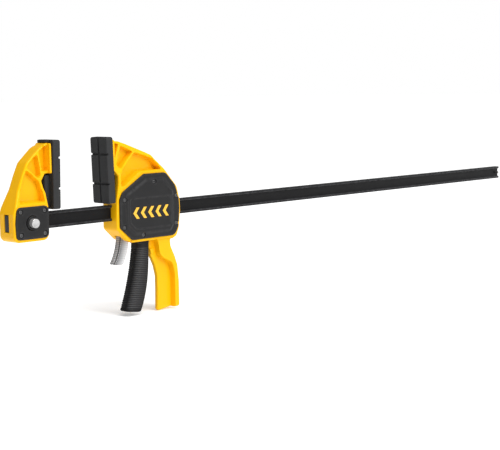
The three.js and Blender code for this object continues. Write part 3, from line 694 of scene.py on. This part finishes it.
def release_shells(pitch):
    """The cast release lever: a serrated finger face, a lengthwise groove beside it and a smooth flank."""
    left = [(110.4, -38), (109.2, -46), (105.8, -62), (101.2, -75), (95.2, -84.6)]
    right = [(121, -37), (122.8, -50), (119.8, -66), (115.4, -78), (110.6, -86.4)]
    width = 13.0
    section = rounded_loop([
        (0, 6.4, 1.2), (0, -1.2, 0.4), (1.6, -1.5, 0.5), (1.6, -4.5, 0.5), (0, -4.9, 0.4), (0, -6.4, 0.9),
        (width, -6.4, 1.6), (width, 6.4, 1.6)], step=0.4)
    finger = (section[:, 0] < 0.6) & ((section[:, 1] > -1.3) | (section[:, 1] < -4.8))
    flank = ((section[:, 0] > 3.5) & (section[:, 0] < width - 3.5) & (section[:, 1] < 0)).astype(float)

    def teeth(t, section):
        # Saw teeth on the finger face. A shallow hollow along the flank ends before the tip.
        saw = 1 - (t * RELEASE_LENGTH / pitch) % 1.0
        hollow = ramp((0.82 - t) / 0.06)[:, None] * flank[None, :] * 0.08
        # Painted highlight on the tooth crests and painted shade in their valleys; the groove beside the finger face
        # is painted dark as shade, the flank kept light and crossed by lines at the tooth pitch.
        lines = (1 - saw[:, None]) ** 0.7
        flat = np.where(section[:, 0] > 3, 1.0, 0.1)[None, :] * (0.5 + 0.5 * lines)
        painted_light_share = np.where(finger[None, :], lines, flat)
        return saw[:, None] * TOOTH_DEPTH * finger[None, :], hollow, painted_light_share

    return [swept(*lever_grid(left, right, section, width, 220, teeth))]


def button_shells():
    """The lock pin's button: a dished face, a rounded rim and a stepped shank through the jaw."""
    profile = [(0.4, 26.75), (3.6, 26.8), (4.6, 27.0), (5.2, 27.2), (5.75, 27.1), (6.1, 26.7), (6.15, 26.1),
               (6.15, 17.5), (3.65, 17.5), (3.65, -14.6), (2.65, -14.6), (2.65, -16.6), (3.65, -16.6), (3.65, -17.3),
               (3.35, -17.6)]
    return [turned(profile, LOCK_X, LOCK_Z, -1, 64)]


def coil_shells(centre, axis, radius, wire, length, turns):
    """A coil spring: a round wire carried along a helix about an axis through the centre.

    The helix is (radius cos a, radius sin a) across the axis and a share of the length along it, its last
    three quarters of a turn at each end lying flat.
    """
    t = np.linspace(0, 1, int(turns * 40) + 1)
    angle = 2 * math.pi * turns * t
    along = (np.clip((t * turns - 0.75) / (turns - 1.5), 0, 1) - 0.5) * length
    along = along + np.clip(t * turns, 0, 0.75) * wire * 2 - np.clip((1 - t) * turns, 0, 0.75) * wire * 2
    line = np.stack([along, radius * np.cos(angle), radius * np.sin(angle)], -1)
    outward = np.stack([np.zeros_like(t), np.cos(angle), np.sin(angle)], -1)
    tangent = np.gradient(line, axis=0)
    tangent /= np.linalg.norm(tangent, axis=1)[:, None]
    side = np.cross(tangent, outward)
    turn = np.linspace(0, 2 * math.pi, 10, endpoint=False)[None, :, None]
    grid = line[:, None] + wire * (np.cos(turn) * outward[:, None] + np.sin(turn) * side[:, None])
    if axis == "y":
        grid = grid[..., [1, 0, 2]]
    return [swept(grid + np.array(centre))]


def collar_shells(side):
    """A guide collar: a ring with a rounded lip and a bore that the pin passes through."""
    profile = [(6.6, 8.6), (6.6, 20.7), (6.9, 21.2), (7.4, 21.3), (8.4, 21.3), (8.9, 21.1), (9.2, 20.6), (9.2, 5.6),
               (4.0, 5.6), (4.0, 8.6)]
    angle = np.linspace(0, 2 * math.pi, 64, endpoint=False)
    p = np.array(profile)
    grid = np.stack([LOCK_X + p[:, :1] * np.cos(angle), np.repeat(side * p[:, 1:], 64, 1),
                     LOCK_Z + p[:, :1] * np.sin(angle)], -1)
    return [(grid.reshape(-1, 3), [grid_faces(len(p), 64, closed_rows=True, closed_columns=True)], None)]


# ---------------------------------------------------------------- shared effects and finishes

def new_group(name, inputs, outputs):
    """An empty shader node group with the given (label, socket type, default) inputs and (label, type) outputs."""
    tree = bpy.data.node_groups.new(name, "ShaderNodeTree")
    for label, kind, default in inputs:
        tree.interface.new_socket(label, in_out="INPUT", socket_type=kind).default_value = default
    for label, kind in outputs:
        tree.interface.new_socket(label, in_out="OUTPUT", socket_type=kind)
    return tree, tree.nodes.new("NodeGroupInput"), tree.nodes.new("NodeGroupOutput")


def feed(tree, value, socket):
    """Links an output socket into an input, or sets the input if the value is plain numbers."""
    if isinstance(value, bpy.types.NodeSocket):
        tree.links.new(value, socket)
    else:
        socket.default_value = value


def set_inputs(node, values):
    """Sets a node's inputs from a dictionary of label and value."""
    for label, value in values.items():
        node.inputs[label].default_value = value


def math_node(tree, operation, *values, clamp=False):
    """A Math node whose inputs are sockets or plain numbers."""
    node = tree.nodes.new("ShaderNodeMath")
    node.operation, node.use_clamp = operation, clamp
    for value, socket in zip(values, node.inputs):
        feed(tree, value, socket)
    return node.outputs[0]


def noise_node(tree, vector, scale, detail=3.0, roughness=0.5):
    """A Noise node; its scale is a socket or a number."""
    node = tree.nodes.new("ShaderNodeTexNoise")
    set_inputs(node, {"Detail": detail, "Roughness": roughness})
    tree.links.new(vector, node.inputs["Vector"])
    feed(tree, scale, node.inputs["Scale"])
    return node.outputs[0]


def stretched(tree, scale):
    """Object coordinates multiplied along each axis by `scale`."""
    place = tree.nodes.new("ShaderNodeTexCoord")
    mapping = tree.nodes.new("ShaderNodeMapping")
    mapping.inputs["Scale"].default_value = scale
    tree.links.new(place.outputs["Object"], mapping.inputs["Vector"])
    return mapping.outputs[0]


def mix_colour(tree, share, a, b):
    """Colour a where share is 0 and colour b where it is 1."""
    node = tree.nodes.new("ShaderNodeMix")
    node.data_type = "RGBA"
    tree.links.new(share, node.inputs[0])
    feed(tree, a, node.inputs[6])
    feed(tree, b, node.inputs[7])
    return node.outputs[2]


def grain_group():
    """Surface grain: a fine and a slow noise on Object coordinates, added as a height and turned to a normal."""
    tree, start, end = new_group(
        "Surface grain",
        [("Fine Scale", "NodeSocketFloat", 1500.0), ("Fine Depth", "NodeSocketFloat", 0.3),
         ("Wave Depth", "NodeSocketFloat", 0.1)],
        [("Normal", "NodeSocketVector"), ("Tone", "NodeSocketFloat")])
    place = stretched(tree, (1, 1, 1))
    fine = noise_node(tree, place, start.outputs["Fine Scale"], 4.0, 0.6)
    slow = noise_node(tree, place, 38.0, 2.0)
    first = tree.nodes.new("ShaderNodeBump")
    first.inputs["Distance"].default_value = 0.0003
    tree.links.new(fine, first.inputs["Height"])
    tree.links.new(start.outputs["Fine Depth"], first.inputs["Strength"])
    second = tree.nodes.new("ShaderNodeBump")
    second.inputs["Distance"].default_value = 0.004
    tree.links.new(slow, second.inputs["Height"])
    tree.links.new(start.outputs["Wave Depth"], second.inputs["Strength"])
    tree.links.new(first.outputs[0], second.inputs["Normal"])
    tree.links.new(second.outputs[0], end.inputs["Normal"])
    tree.links.new(math_node(tree, "ADD", math_node(tree, "MULTIPLY", fine, 0.35),
                             math_node(tree, "MULTIPLY", slow, 0.65)), end.inputs["Tone"])
    return tree


def wear_and_light_group():
    """Rubbed edges and painted light: the mesh's "edge" mark mixes a second colour over the base, a rubbed colour on
    moulded edges and a painted highlight on the levers; noise breaks it up unless even.
    """
    tree, start, end = new_group(
        "Rubbed edges and painted light",
        [("Color", "NodeSocketColor", (0.5, 0.5, 0.5, 1)), ("Worn And Lit", "NodeSocketColor", (0.8, 0.8, 0.8, 1)),
         ("Amount", "NodeSocketFloat", 0.3), ("Evenness", "NodeSocketFloat", 0.0)],
        [("Color", "NodeSocketColor")])
    mark = tree.nodes.new("ShaderNodeAttribute")
    mark.attribute_name = "edge"
    patches = noise_node(tree, stretched(tree, (1, 1, 1)), 160.0, 5.0, 0.65)
    broken = math_node(tree, "SUBTRACT", math_node(tree, "MULTIPLY", patches, 2.0), 0.55, clamp=True)
    broken = math_node(tree, "MAXIMUM", broken, start.outputs["Evenness"])
    mask = math_node(tree, "MULTIPLY", math_node(tree, "MULTIPLY", mark.outputs["Fac"], broken),
                     start.outputs["Amount"], clamp=True)
    tree.links.new(mix_colour(tree, mask, start.outputs["Color"], start.outputs["Worn And Lit"]), end.inputs["Color"])
    return tree


def smudge_group():
    """Handling marks: patchy noise that raises or lowers a roughness and leaves a faint dust mask."""
    tree, start, end = new_group(
        "Handling marks",
        [("Roughness", "NodeSocketFloat", 0.4), ("Spread", "NodeSocketFloat", 0.1)],
        [("Roughness", "NodeSocketFloat"), ("Dust", "NodeSocketFloat")])
    place = stretched(tree, (1, 1, 1))
    patch = noise_node(tree, place, 55.0, 5.0, 0.6)
    speck = noise_node(tree, place, 900.0, 2.0, 0.5)
    offset = math_node(tree, "MULTIPLY", math_node(tree, "SUBTRACT", patch, 0.5), start.outputs["Spread"])
    tree.links.new(math_node(tree, "ADD", start.outputs["Roughness"], math_node(tree, "MULTIPLY", offset, 2.0),
                             clamp=True), end.inputs["Roughness"])
    tree.links.new(math_node(tree, "MULTIPLY", math_node(tree, "MULTIPLY", patch, speck), 1.2, clamp=True),
                   end.inputs["Dust"])
    return tree


def group_node(tree, maker):
    """A node for a shared group, which is built the first time it is asked for."""
    names = {grain_group: "Surface grain", wear_and_light_group: "Rubbed edges and painted light", smudge_group: "Handling marks"}
    node = tree.nodes.new("ShaderNodeGroup")
    node.node_tree = bpy.data.node_groups.get(names[maker]) or maker()
    return node


def scaled(colour, factor):
    """A colour made lighter or darker, with its alpha."""
    return tuple(min(1.0, c * factor) for c in colour[:3]) + (1.0,)


DUST = (0.55, 0.52, 0.47, 1.0)


def build_finish(name, colour, roughness, metallic=0.0, grain=(1500.0, 0.25, 0.06), tint=0.05, worn_and_lit=None, wear_and_light=0.0,
                 even=0.0, spread=0.06, coat=0.0, dust=0.03, specular=0.5, streaks=None):
    """A finish: tinted base colour, rubbed edges and painted light, dust, patchy roughness and grain, with optional
    drawn streaks.
    """
    material = bpy.data.materials.new(name)
    material.use_nodes = True
    tree = material.node_tree
    shader = tree.nodes["Principled BSDF"]
    set_inputs(shader, {"Metallic": metallic, "Coat Weight": coat, "Coat Roughness": 0.12,
                        "Specular IOR Level": specular})
    surface_grain = group_node(tree, grain_group)
    set_inputs(surface_grain, dict(zip(("Fine Scale", "Fine Depth", "Wave Depth"), grain)))
    tone = surface_grain.outputs["Tone"]
    if streaks is not None:
        lines = noise_node(tree, stretched(tree, streaks), 1.0, 4.0, 0.7)
        tone = math_node(tree, "ADD", math_node(tree, "MULTIPLY", tone, 0.4), math_node(tree, "MULTIPLY", lines, 0.6))
    share = math_node(tree, "ADD", math_node(tree, "MULTIPLY", math_node(tree, "SUBTRACT", tone, 0.5), 2.4), 0.5,
                      clamp=True)
    base = mix_colour(tree, share, scaled(colour, 1 - tint), scaled(colour, 1 + tint))
    marks = group_node(tree, smudge_group)
    set_inputs(marks, {"Roughness": roughness, "Spread": spread})
    # The second colour is rubbed edges on moulded pieces and the bar, and painted highlight over painted shade on the
    # levers.
    if worn_and_lit is not None:
        edges = group_node(tree, wear_and_light_group)
        tree.links.new(base, edges.inputs["Color"])
        set_inputs(edges, {"Worn And Lit": tuple(worn_and_lit[:3]) + (1.0,), "Amount": wear_and_light, "Evenness": even})
        base = edges.outputs["Color"]
    dusty = math_node(tree, "MULTIPLY", marks.outputs["Dust"], dust)
    base = mix_colour(tree, dusty, base, DUST)
    tree.links.new(base, shader.inputs["Base Color"])
    tree.links.new(marks.outputs["Roughness"], shader.inputs["Roughness"])
    tree.links.new(surface_grain.outputs["Normal"], shader.inputs["Normal"])
    return material


def finish_named(name):
    """One of the clamp's finishes, made from the panel's colours the first time it is used."""
    title = "finish " + name.replace("_", " ")
    found = bpy.data.materials.get(title)
    if found is not None:
        return found
    c = bpy.context.scene.clamp_colours
    recipes = {
        "yellow_plastic": dict(colour=c.body, roughness=0.34, grain=(1400.0, 0.10, 0.05), tint=0.035,
                               worn_and_lit=scaled(c.body, 1.2), wear_and_light=0.4, spread=0.07, coat=0.04, dust=0.004,
                               specular=0.12),
        "black_cover": dict(colour=c.cover, roughness=0.42, grain=(1100.0, 0.45, 0.05), tint=0.12,
                            worn_and_lit=(0.10, 0.10, 0.105), wear_and_light=0.22, spread=0.07, dust=0.01,
                            specular=0.20),
        "badge_paint": dict(colour=c.badge, roughness=0.38, grain=(1600.0, 0.1, 0.03), tint=0.04,
                            worn_and_lit=scaled(c.badge, 1.2), wear_and_light=0.3),
        "pad_rubber": dict(colour=c.pad, roughness=0.62, grain=(900.0, 0.6, 0.08), tint=0.10,
                           worn_and_lit=(0.03, 0.03, 0.032), wear_and_light=0.15, spread=0.08, dust=0.002, specular=0.22),
        # The grip's second colour is painted highlight: the sleeve's marks lay a painted sheen on its flank and
        # painted shade in the rib valleys.
        "grip_rubber": dict(colour=c.grip, roughness=0.48, grain=(1300.0, 0.5, 0.06), tint=0.12,
                            worn_and_lit=(0.062, 0.062, 0.064), wear_and_light=1.0, even=1.0, spread=0.08, dust=0.003, specular=0.12),
        "black_bar": dict(colour=c.bar, roughness=0.40, metallic=0.1, grain=(1700.0, 0.15, 0.03), tint=0.35,
                          worn_and_lit=(0.14, 0.14, 0.15), wear_and_light=0.45, spread=0.10, dust=0.003, specular=0.08,
                          streaks=(14.0, 900.0, 900.0)),
        "screw_steel": dict(colour=(0.10, 0.10, 0.102), roughness=0.40, metallic=0.5, grain=(2600.0, 0.3, 0.02),
                            tint=0.15, spread=0.08),
        "button_metal": dict(colour=c.button, roughness=0.30, metallic=0.55, grain=(2200.0, 0.15, 0.03), tint=0.05,
                             spread=0.08, dust=0.02),
        # The lever's silver is its second colour, laid on as painted light; its dark base shows as painted shade in
        # the groove and the tooth valleys.
        "cast_lever": dict(colour=c.release, roughness=0.36, metallic=0.35, grain=(1900.0, 0.5, 0.10), tint=0.10,
                           worn_and_lit=(0.88, 0.88, 0.89), wear_and_light=1.0, even=0.85, spread=0.12, dust=0.04),
        "spring_steel": dict(colour=(0.30, 0.30, 0.31), roughness=0.30, metallic=1.0, grain=(2400.0, 0.2, 0.02),
                             tint=0.15, spread=0.1),
        "plate_steel": dict(colour=(0.22, 0.21, 0.20), roughness=0.42, metallic=1.0, grain=(1500.0, 0.4, 0.05),
                            tint=0.25, spread=0.1, streaks=(300.0, 40.0, 300.0)),
    }
    if name not in recipes:
        raise RuntimeError("there is no finish named " + name)
    return build_finish(title, **recipes[name])


def add_piece(name, shells, finish, body, replaced, sharp=40):
    """Makes a piece in its finish, rides it on its body and hides the plain solids that it stands for."""
    piece = make_object(name, shells, sharp)
    piece.data.materials.append(finish_named(finish))
    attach(piece, body)
    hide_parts(*replaced)
    return piece


def restyle(names, finish):
    """Gives solids that keep their shape a better finish."""
    for name in names:
        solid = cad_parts[name]
        for material_slot in solid.material_slots:
            material_slot.material = finish_named(finish)
        if not solid.material_slots:
            raise RuntimeError(name + " has no material slot")


# ---------------------------------------------------------------- sizes and colours a user would change

class ClampSizes(bpy.types.PropertyGroup):
    rib_pitch: bpy.props.FloatProperty(
        name="Grip rib pitch", description="Distance between the ribs of the drive lever's sleeve",
        default=0.0026, min=0.001, max=0.006, unit="LENGTH")
    tooth_pitch: bpy.props.FloatProperty(
        name="Release tooth pitch", description="Distance between the teeth of the release lever",
        default=0.0026, min=0.001, max=0.006, unit="LENGTH")
    pointers: bpy.props.IntProperty(
        name="Pointers", description="Number of pointers on the sliding jaw's badge panel", default=5, min=1, max=5)
    floor_size: bpy.props.FloatProperty(
        name="Floor size", description="Length of the studio floor's sides", default=60.0, min=4.0, unit="LENGTH")


def colour_property(name, description, default):
    return bpy.props.FloatVectorProperty(name=name, description=description, default=default, size=3, min=0.0,
                                         max=1.0, subtype="COLOR")


class ClampColours(bpy.types.PropertyGroup):
    body: colour_property("Body", "Moulded jaws and handle", (0.92, 0.47, 0.002))
    cover: colour_property("Cover", "Cover plates and collars", (0.0125, 0.0125, 0.0132))
    badge: colour_property("Badge", "Pointers on the badge panel", (0.86, 0.47, 0.03))
    pad: colour_property("Pads", "Rubber jaw pads", (0.026, 0.0265, 0.0275))
    grip: colour_property("Grip", "Sleeve of the drive lever", (0.004, 0.004, 0.0045))
    bar: colour_property("Bar", "Blackened steel bar", (0.010, 0.010, 0.0105))
    button: colour_property("Button", "Button of the lock pin", (0.52, 0.52, 0.52))
    # The release lever's dark base colour is painted shade in its groove and tooth valleys; its silver comes in as
    # painted light.
    release: colour_property("Release lever", "Cast release lever", (0.10, 0.10, 0.105))


# ---------------------------------------------------------------- operators

class CLAMP_OT_fixed_jaw(bpy.types.Operator):
    """Mould the fixed jaw with its pockets and the plate behind its pad"""
    bl_idname = "clamp.fixed_jaw"
    bl_label = "Fixed jaw"

    def execute(self, context):
        add_piece("fixed_jaw_moulding", fixed_jaw_shells(), "yellow_plastic", "bar_and_fixed_jaw",
                  ["fixed_jaw_body"])
        return {"FINISHED"}


class CLAMP_OT_sliding_jaw(bpy.types.Operator):
    """Mould the sliding jaw with its arm and handle"""
    bl_idname = "clamp.sliding_jaw"
    bl_label = "Sliding jaw"

    def execute(self, context):
        add_piece("sliding_jaw_moulding", housing_shells(), "yellow_plastic", "sliding_jaw",
                  ["housing_body"])
        return {"FINISHED"}


class CLAMP_OT_covers(bpy.types.Operator):
    """Press the four black cover plates"""
    bl_idname = "clamp.covers"
    bl_label = "Covers"

    def execute(self, context):
        for side, place in (("front", front_place), ("back", back_place)):
            add_piece("fixed_cover_" + side, fixed_cover_shells(place), "black_cover", "bar_and_fixed_jaw",
                      [f"fixed_jaw_{side}_cover"])
            add_piece("housing_cover_" + side, housing_cover_shells(place), "black_cover", "sliding_jaw",
                      [f"housing_{side}_cover"])
        return {"FINISHED"}


class CLAMP_OT_pointers(bpy.types.Operator):
    """Lay the row of pointers on the badge panels"""
    bl_idname = "clamp.pointers"
    bl_label = "Pointers"

    def execute(self, context):
        for side, place in (("front", front_place), ("back", back_place)):
            add_piece("badge_pointers_" + side, chevron_shells(place, context.scene.clamp_sizes.pointers),
                      "badge_paint", "sliding_jaw", [])
        return {"FINISHED"}


class CLAMP_OT_screws(bpy.types.Operator):
    """Drive the covers' screws"""
    bl_idname = "clamp.screws"
    bl_label = "Screws"

    def execute(self, context):
        rows = (("fixed", "bar_and_fixed_jaw", FIXED_SCREWS, BLOCK_HALF),
                ("housing", "sliding_jaw", HOUSING_SCREWS, HOUSING_HALF))
        for jaw, body, screws, half in rows:
            for side, sign in (("front", -1), ("back", 1)):
                nodes = [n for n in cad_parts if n.startswith(f"{jaw}_{side}_screw_")]
                add_piece(f"{jaw}_screws_{side}", screw_shells(screws, half + COVER_SEAT + COVER_THICKNESS, sign),
                          "screw_steel", body, nodes)
        return {"FINISHED"}


class CLAMP_OT_pads(bpy.types.Operator):
    """Mould the two grooved pads"""
    bl_idname = "clamp.pads"
    bl_label = "Pads"

    def execute(self, context):
        add_piece("fixed_jaw_pad", pad_shells(False), "pad_rubber", "bar_and_fixed_jaw", ["fixed_pad"])
        add_piece("sliding_jaw_pad", pad_shells(True), "pad_rubber", "sliding_jaw", ["sliding_pad"])
        return {"FINISHED"}


class CLAMP_OT_bar(bpy.types.Operator):
    """Roll the I-section bar between the CAD bar's ends and finish its stop pin"""
    bl_idname = "clamp.bar"
    bl_label = "Bar"

    def execute(self, context):
        low, high = node_box("bar")
        add_piece("steel_bar", bar_shells(low[0] + 0.8, high[0]), "black_bar", "bar_and_fixed_jaw",
                  ["bar"])
        # The plug fills the I-section's recesses with dark as painted shade.
        add_piece("bar_end_shade_plug", bar_end_shade_plug_shells(low[0] + 0.8), "black_cover", "bar_and_fixed_jaw",
                  [])
        restyle(["bar_stop_pin"], "plate_steel")
        return {"FINISHED"}


class CLAMP_OT_lock(bpy.types.Operator):
    """Turn the lock pin's button and its collars"""
    bl_idname = "clamp.lock"
    bl_label = "Lock button"

    def execute(self, context):
        add_piece("lock_pin_button", button_shells(), "button_metal", "lock_button",
                  ["release_button"])
        add_piece("lock_collar_front", collar_shells(-1), "black_cover", "bar_and_fixed_jaw",
                  ["button_collar"])
        add_piece("lock_collar_back", collar_shells(1), "black_cover", "bar_and_fixed_jaw",
                  ["clip_collar"])
        restyle(["button_clip"], "spring_steel")
        # The coil stands on the front collar's floor.
        low, high = node_box("button_spring")
        centre = (LOCK_X, (low[1] + high[1]) / 2, LOCK_Z)
        spring = add_piece("button_return_coil", coil_shells(centre, "y", 5.1, 0.45, high[1] - low[1] - 1.9, 5),
                           "spring_steel", "bar_and_fixed_jaw", ["button_spring"])
        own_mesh(spring)
        return {"FINISHED"}


class CLAMP_OT_levers(bpy.types.Operator):
    """Shape the ribbed drive lever and the cast release lever"""
    bl_idname = "clamp.levers"
    bl_label = "Levers"

    def execute(self, context):
        sizes = context.scene.clamp_sizes
        add_piece("drive_lever_sleeve", grip_shells(sizes.rib_pitch / MM), "grip_rubber", "drive_trigger_lever",
                  ["drive_trigger_grip"], 60)
        add_piece("release_lever_casting", release_shells(sizes.tooth_pitch / MM), "cast_lever", "release_lever",
                  ["release_trigger"], 50)
        restyle(["drive_trigger"], "black_cover")
        restyle(["drive_trigger_pin", "release_trigger_pin"], "screw_steel")
        return {"FINISHED"}


class CLAMP_OT_mechanism(bpy.types.Operator):
    """Finish the plates, springs and guides inside the sliding jaw"""
    bl_idname = "clamp.mechanism"
    bl_label = "Mechanism"

    def execute(self, context):
        restyle(["brake_plate", "drive_plate_1", "drive_plate_2", "drive_plate_3"], "plate_steel")
        restyle(["brake_spring"], "spring_steel")
        # The coil behind the drive plates stands on the body's rear wall.
        low, high = node_box("drive_spring")
        reach = (high[2] - low[2]) / 2 - 0.6
        spring = add_piece("drive_return_coil",
                           coil_shells((low + high) / 2, "x", reach, 0.6, high[0] - low[0] - 2.4, 6), "spring_steel",
                           "sliding_jaw", ["drive_spring"])
        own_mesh(spring)
        restyle(["bar_guide_front", "bar_guide_rear"], "black_cover")
        return {"FINISHED"}


# Metres, and degrees about X, Y and Z from a camera that looks straight down.
CAMERA_PLACE = (-0.9741, -1.3527, 0.1598)
CAMERA_TURN = (83.63, 0.994, -44.951)


def add_light(name, place, target, size, power):
    """A square area light at a place, turned to a target; both in metres."""
    data = bpy.data.lights.new(name, "AREA")
    data.shape, data.size, data.energy = "SQUARE", size, power
    light = bpy.data.objects.new(name, data)
    light.location = place
    light.rotation_euler = (Vector(target) - Vector(place)).to_track_quat("-Z", "Y").to_euler()
    bpy.context.scene.collection.objects.link(light)


class CLAMP_OT_studio(bpy.types.Operator):
    """Set out the pale floor, the soft lights and the camera"""
    bl_idname = "clamp.studio"
    bl_label = "Studio"

    def execute(self, context):
        floor_z = CAD_BOX[0][2] - 0.0006
        half = context.scene.clamp_sizes.floor_size / 2
        line = np.linspace(-half, half, 9)
        x, y = np.meshgrid(line, line, indexing="ij")
        mesh = bpy.data.meshes.new("studio_floor")
        mesh.from_pydata(np.stack([x, y, np.full_like(x, floor_z)], -1).reshape(-1, 3).tolist(), [],
                         grid_faces(9, 9).tolist())
        floor = bpy.data.objects.new("studio_floor", mesh)
        context.scene.collection.objects.link(floor)
        paper = bpy.data.materials.new("white_paper")
        paper.use_nodes = True
        shader = paper.node_tree.nodes["Principled BSDF"]
        set_inputs(shader, {"Base Color": (0.9, 0.9, 0.9, 1), "Roughness": 0.9, "Specular IOR Level": 0.1,
                            "Emission Color": (1, 1, 1, 1), "Emission Strength": 0.32})
        floor.data.materials.append(paper)

        world = bpy.data.worlds.new("studio_world")
        world.use_nodes = True
        seen = world.node_tree.nodes.new("ShaderNodeLightPath").outputs["Is Camera Ray"]
        strength = math_node(world.node_tree, "ADD", math_node(world.node_tree, "MULTIPLY", seen, 0.76), 0.24)
        background = world.node_tree.nodes["Background"]
        background.inputs["Color"].default_value = (1, 1, 1, 1)
        world.node_tree.links.new(strength, background.inputs["Strength"])
        context.scene.world = world
        context.scene.view_settings.view_transform = "Standard"
        centre = (0.12, 0.0, 0.0)
        add_light("key", (0.5, -2.3, 1.3), centre, 1.2, 33)
        add_light("side", (2.4, -0.1, 0.9), centre, 1.3, 10)
        sky = bpy.data.lights.new("overhead", "SUN")
        sky.energy, sky.angle = 2.2, math.radians(50)
        overhead = bpy.data.objects.new("overhead", sky)
        overhead.rotation_euler = (math.radians(22), math.radians(-6), 0)
        context.scene.collection.objects.link(overhead)

        # The camera stands to the left in front of the fixed jaw and looks along the bar, a little downwards.
        data = bpy.data.cameras.new("camera")
        data.lens, data.sensor_width, data.clip_end = 88.56, 36.0, 200.0
        camera = bpy.data.objects.new("camera", data)
        turn = Euler([math.radians(angle) for angle in CAMERA_TURN])
        camera.matrix_world = Matrix.LocRotScale(Vector(CAMERA_PLACE), turn, None)
        context.scene.collection.objects.link(camera)
        context.scene.camera = camera
        return {"FINISHED"}


PIECE_OPERATORS = (CLAMP_OT_fixed_jaw, CLAMP_OT_sliding_jaw, CLAMP_OT_covers, CLAMP_OT_pointers, CLAMP_OT_screws,
                   CLAMP_OT_pads, CLAMP_OT_bar, CLAMP_OT_lock, CLAMP_OT_levers, CLAMP_OT_mechanism, CLAMP_OT_studio)


class CLAMP_PT_panel(bpy.types.Panel):
    """The clamp's sizes, colours and pieces"""
    bl_idname = "CLAMP_PT_panel"
    bl_label = "Bar clamp"
    bl_space_type = "VIEW_3D"
    bl_region_type = "UI"
    bl_category = "Clamp"

    def draw(self, context):
        for group in (context.scene.clamp_sizes, context.scene.clamp_colours):
            for key in group.bl_rna.properties.keys():
                if key not in ("rna_type", "name"):
                    self.layout.prop(group, key)
        for operator in PIECE_OPERATORS:
            self.layout.operator(operator.bl_idname)


CLASSES = (ClampSizes, ClampColours) + PIECE_OPERATORS + (CLAMP_PT_panel,)


def register():
    for cls in CLASSES:
        bpy.utils.register_class(cls)
    bpy.types.Scene.clamp_sizes = bpy.props.PointerProperty(type=ClampSizes)
    bpy.types.Scene.clamp_colours = bpy.props.PointerProperty(type=ClampColours)


def unregister():
    del bpy.types.Scene.clamp_colours
    del bpy.types.Scene.clamp_sizes
    for cls in reversed(CLASSES):
        bpy.utils.unregister_class(cls)


def main():
    register()
    for operator in PIECE_OPERATORS:
        group, name = operator.bl_idname.split(".")
        if getattr(getattr(bpy.ops, group), name)() != {"FINISHED"}:
            raise RuntimeError(operator.bl_idname + " didn't finish")


if __name__ == "__main__":
    main()
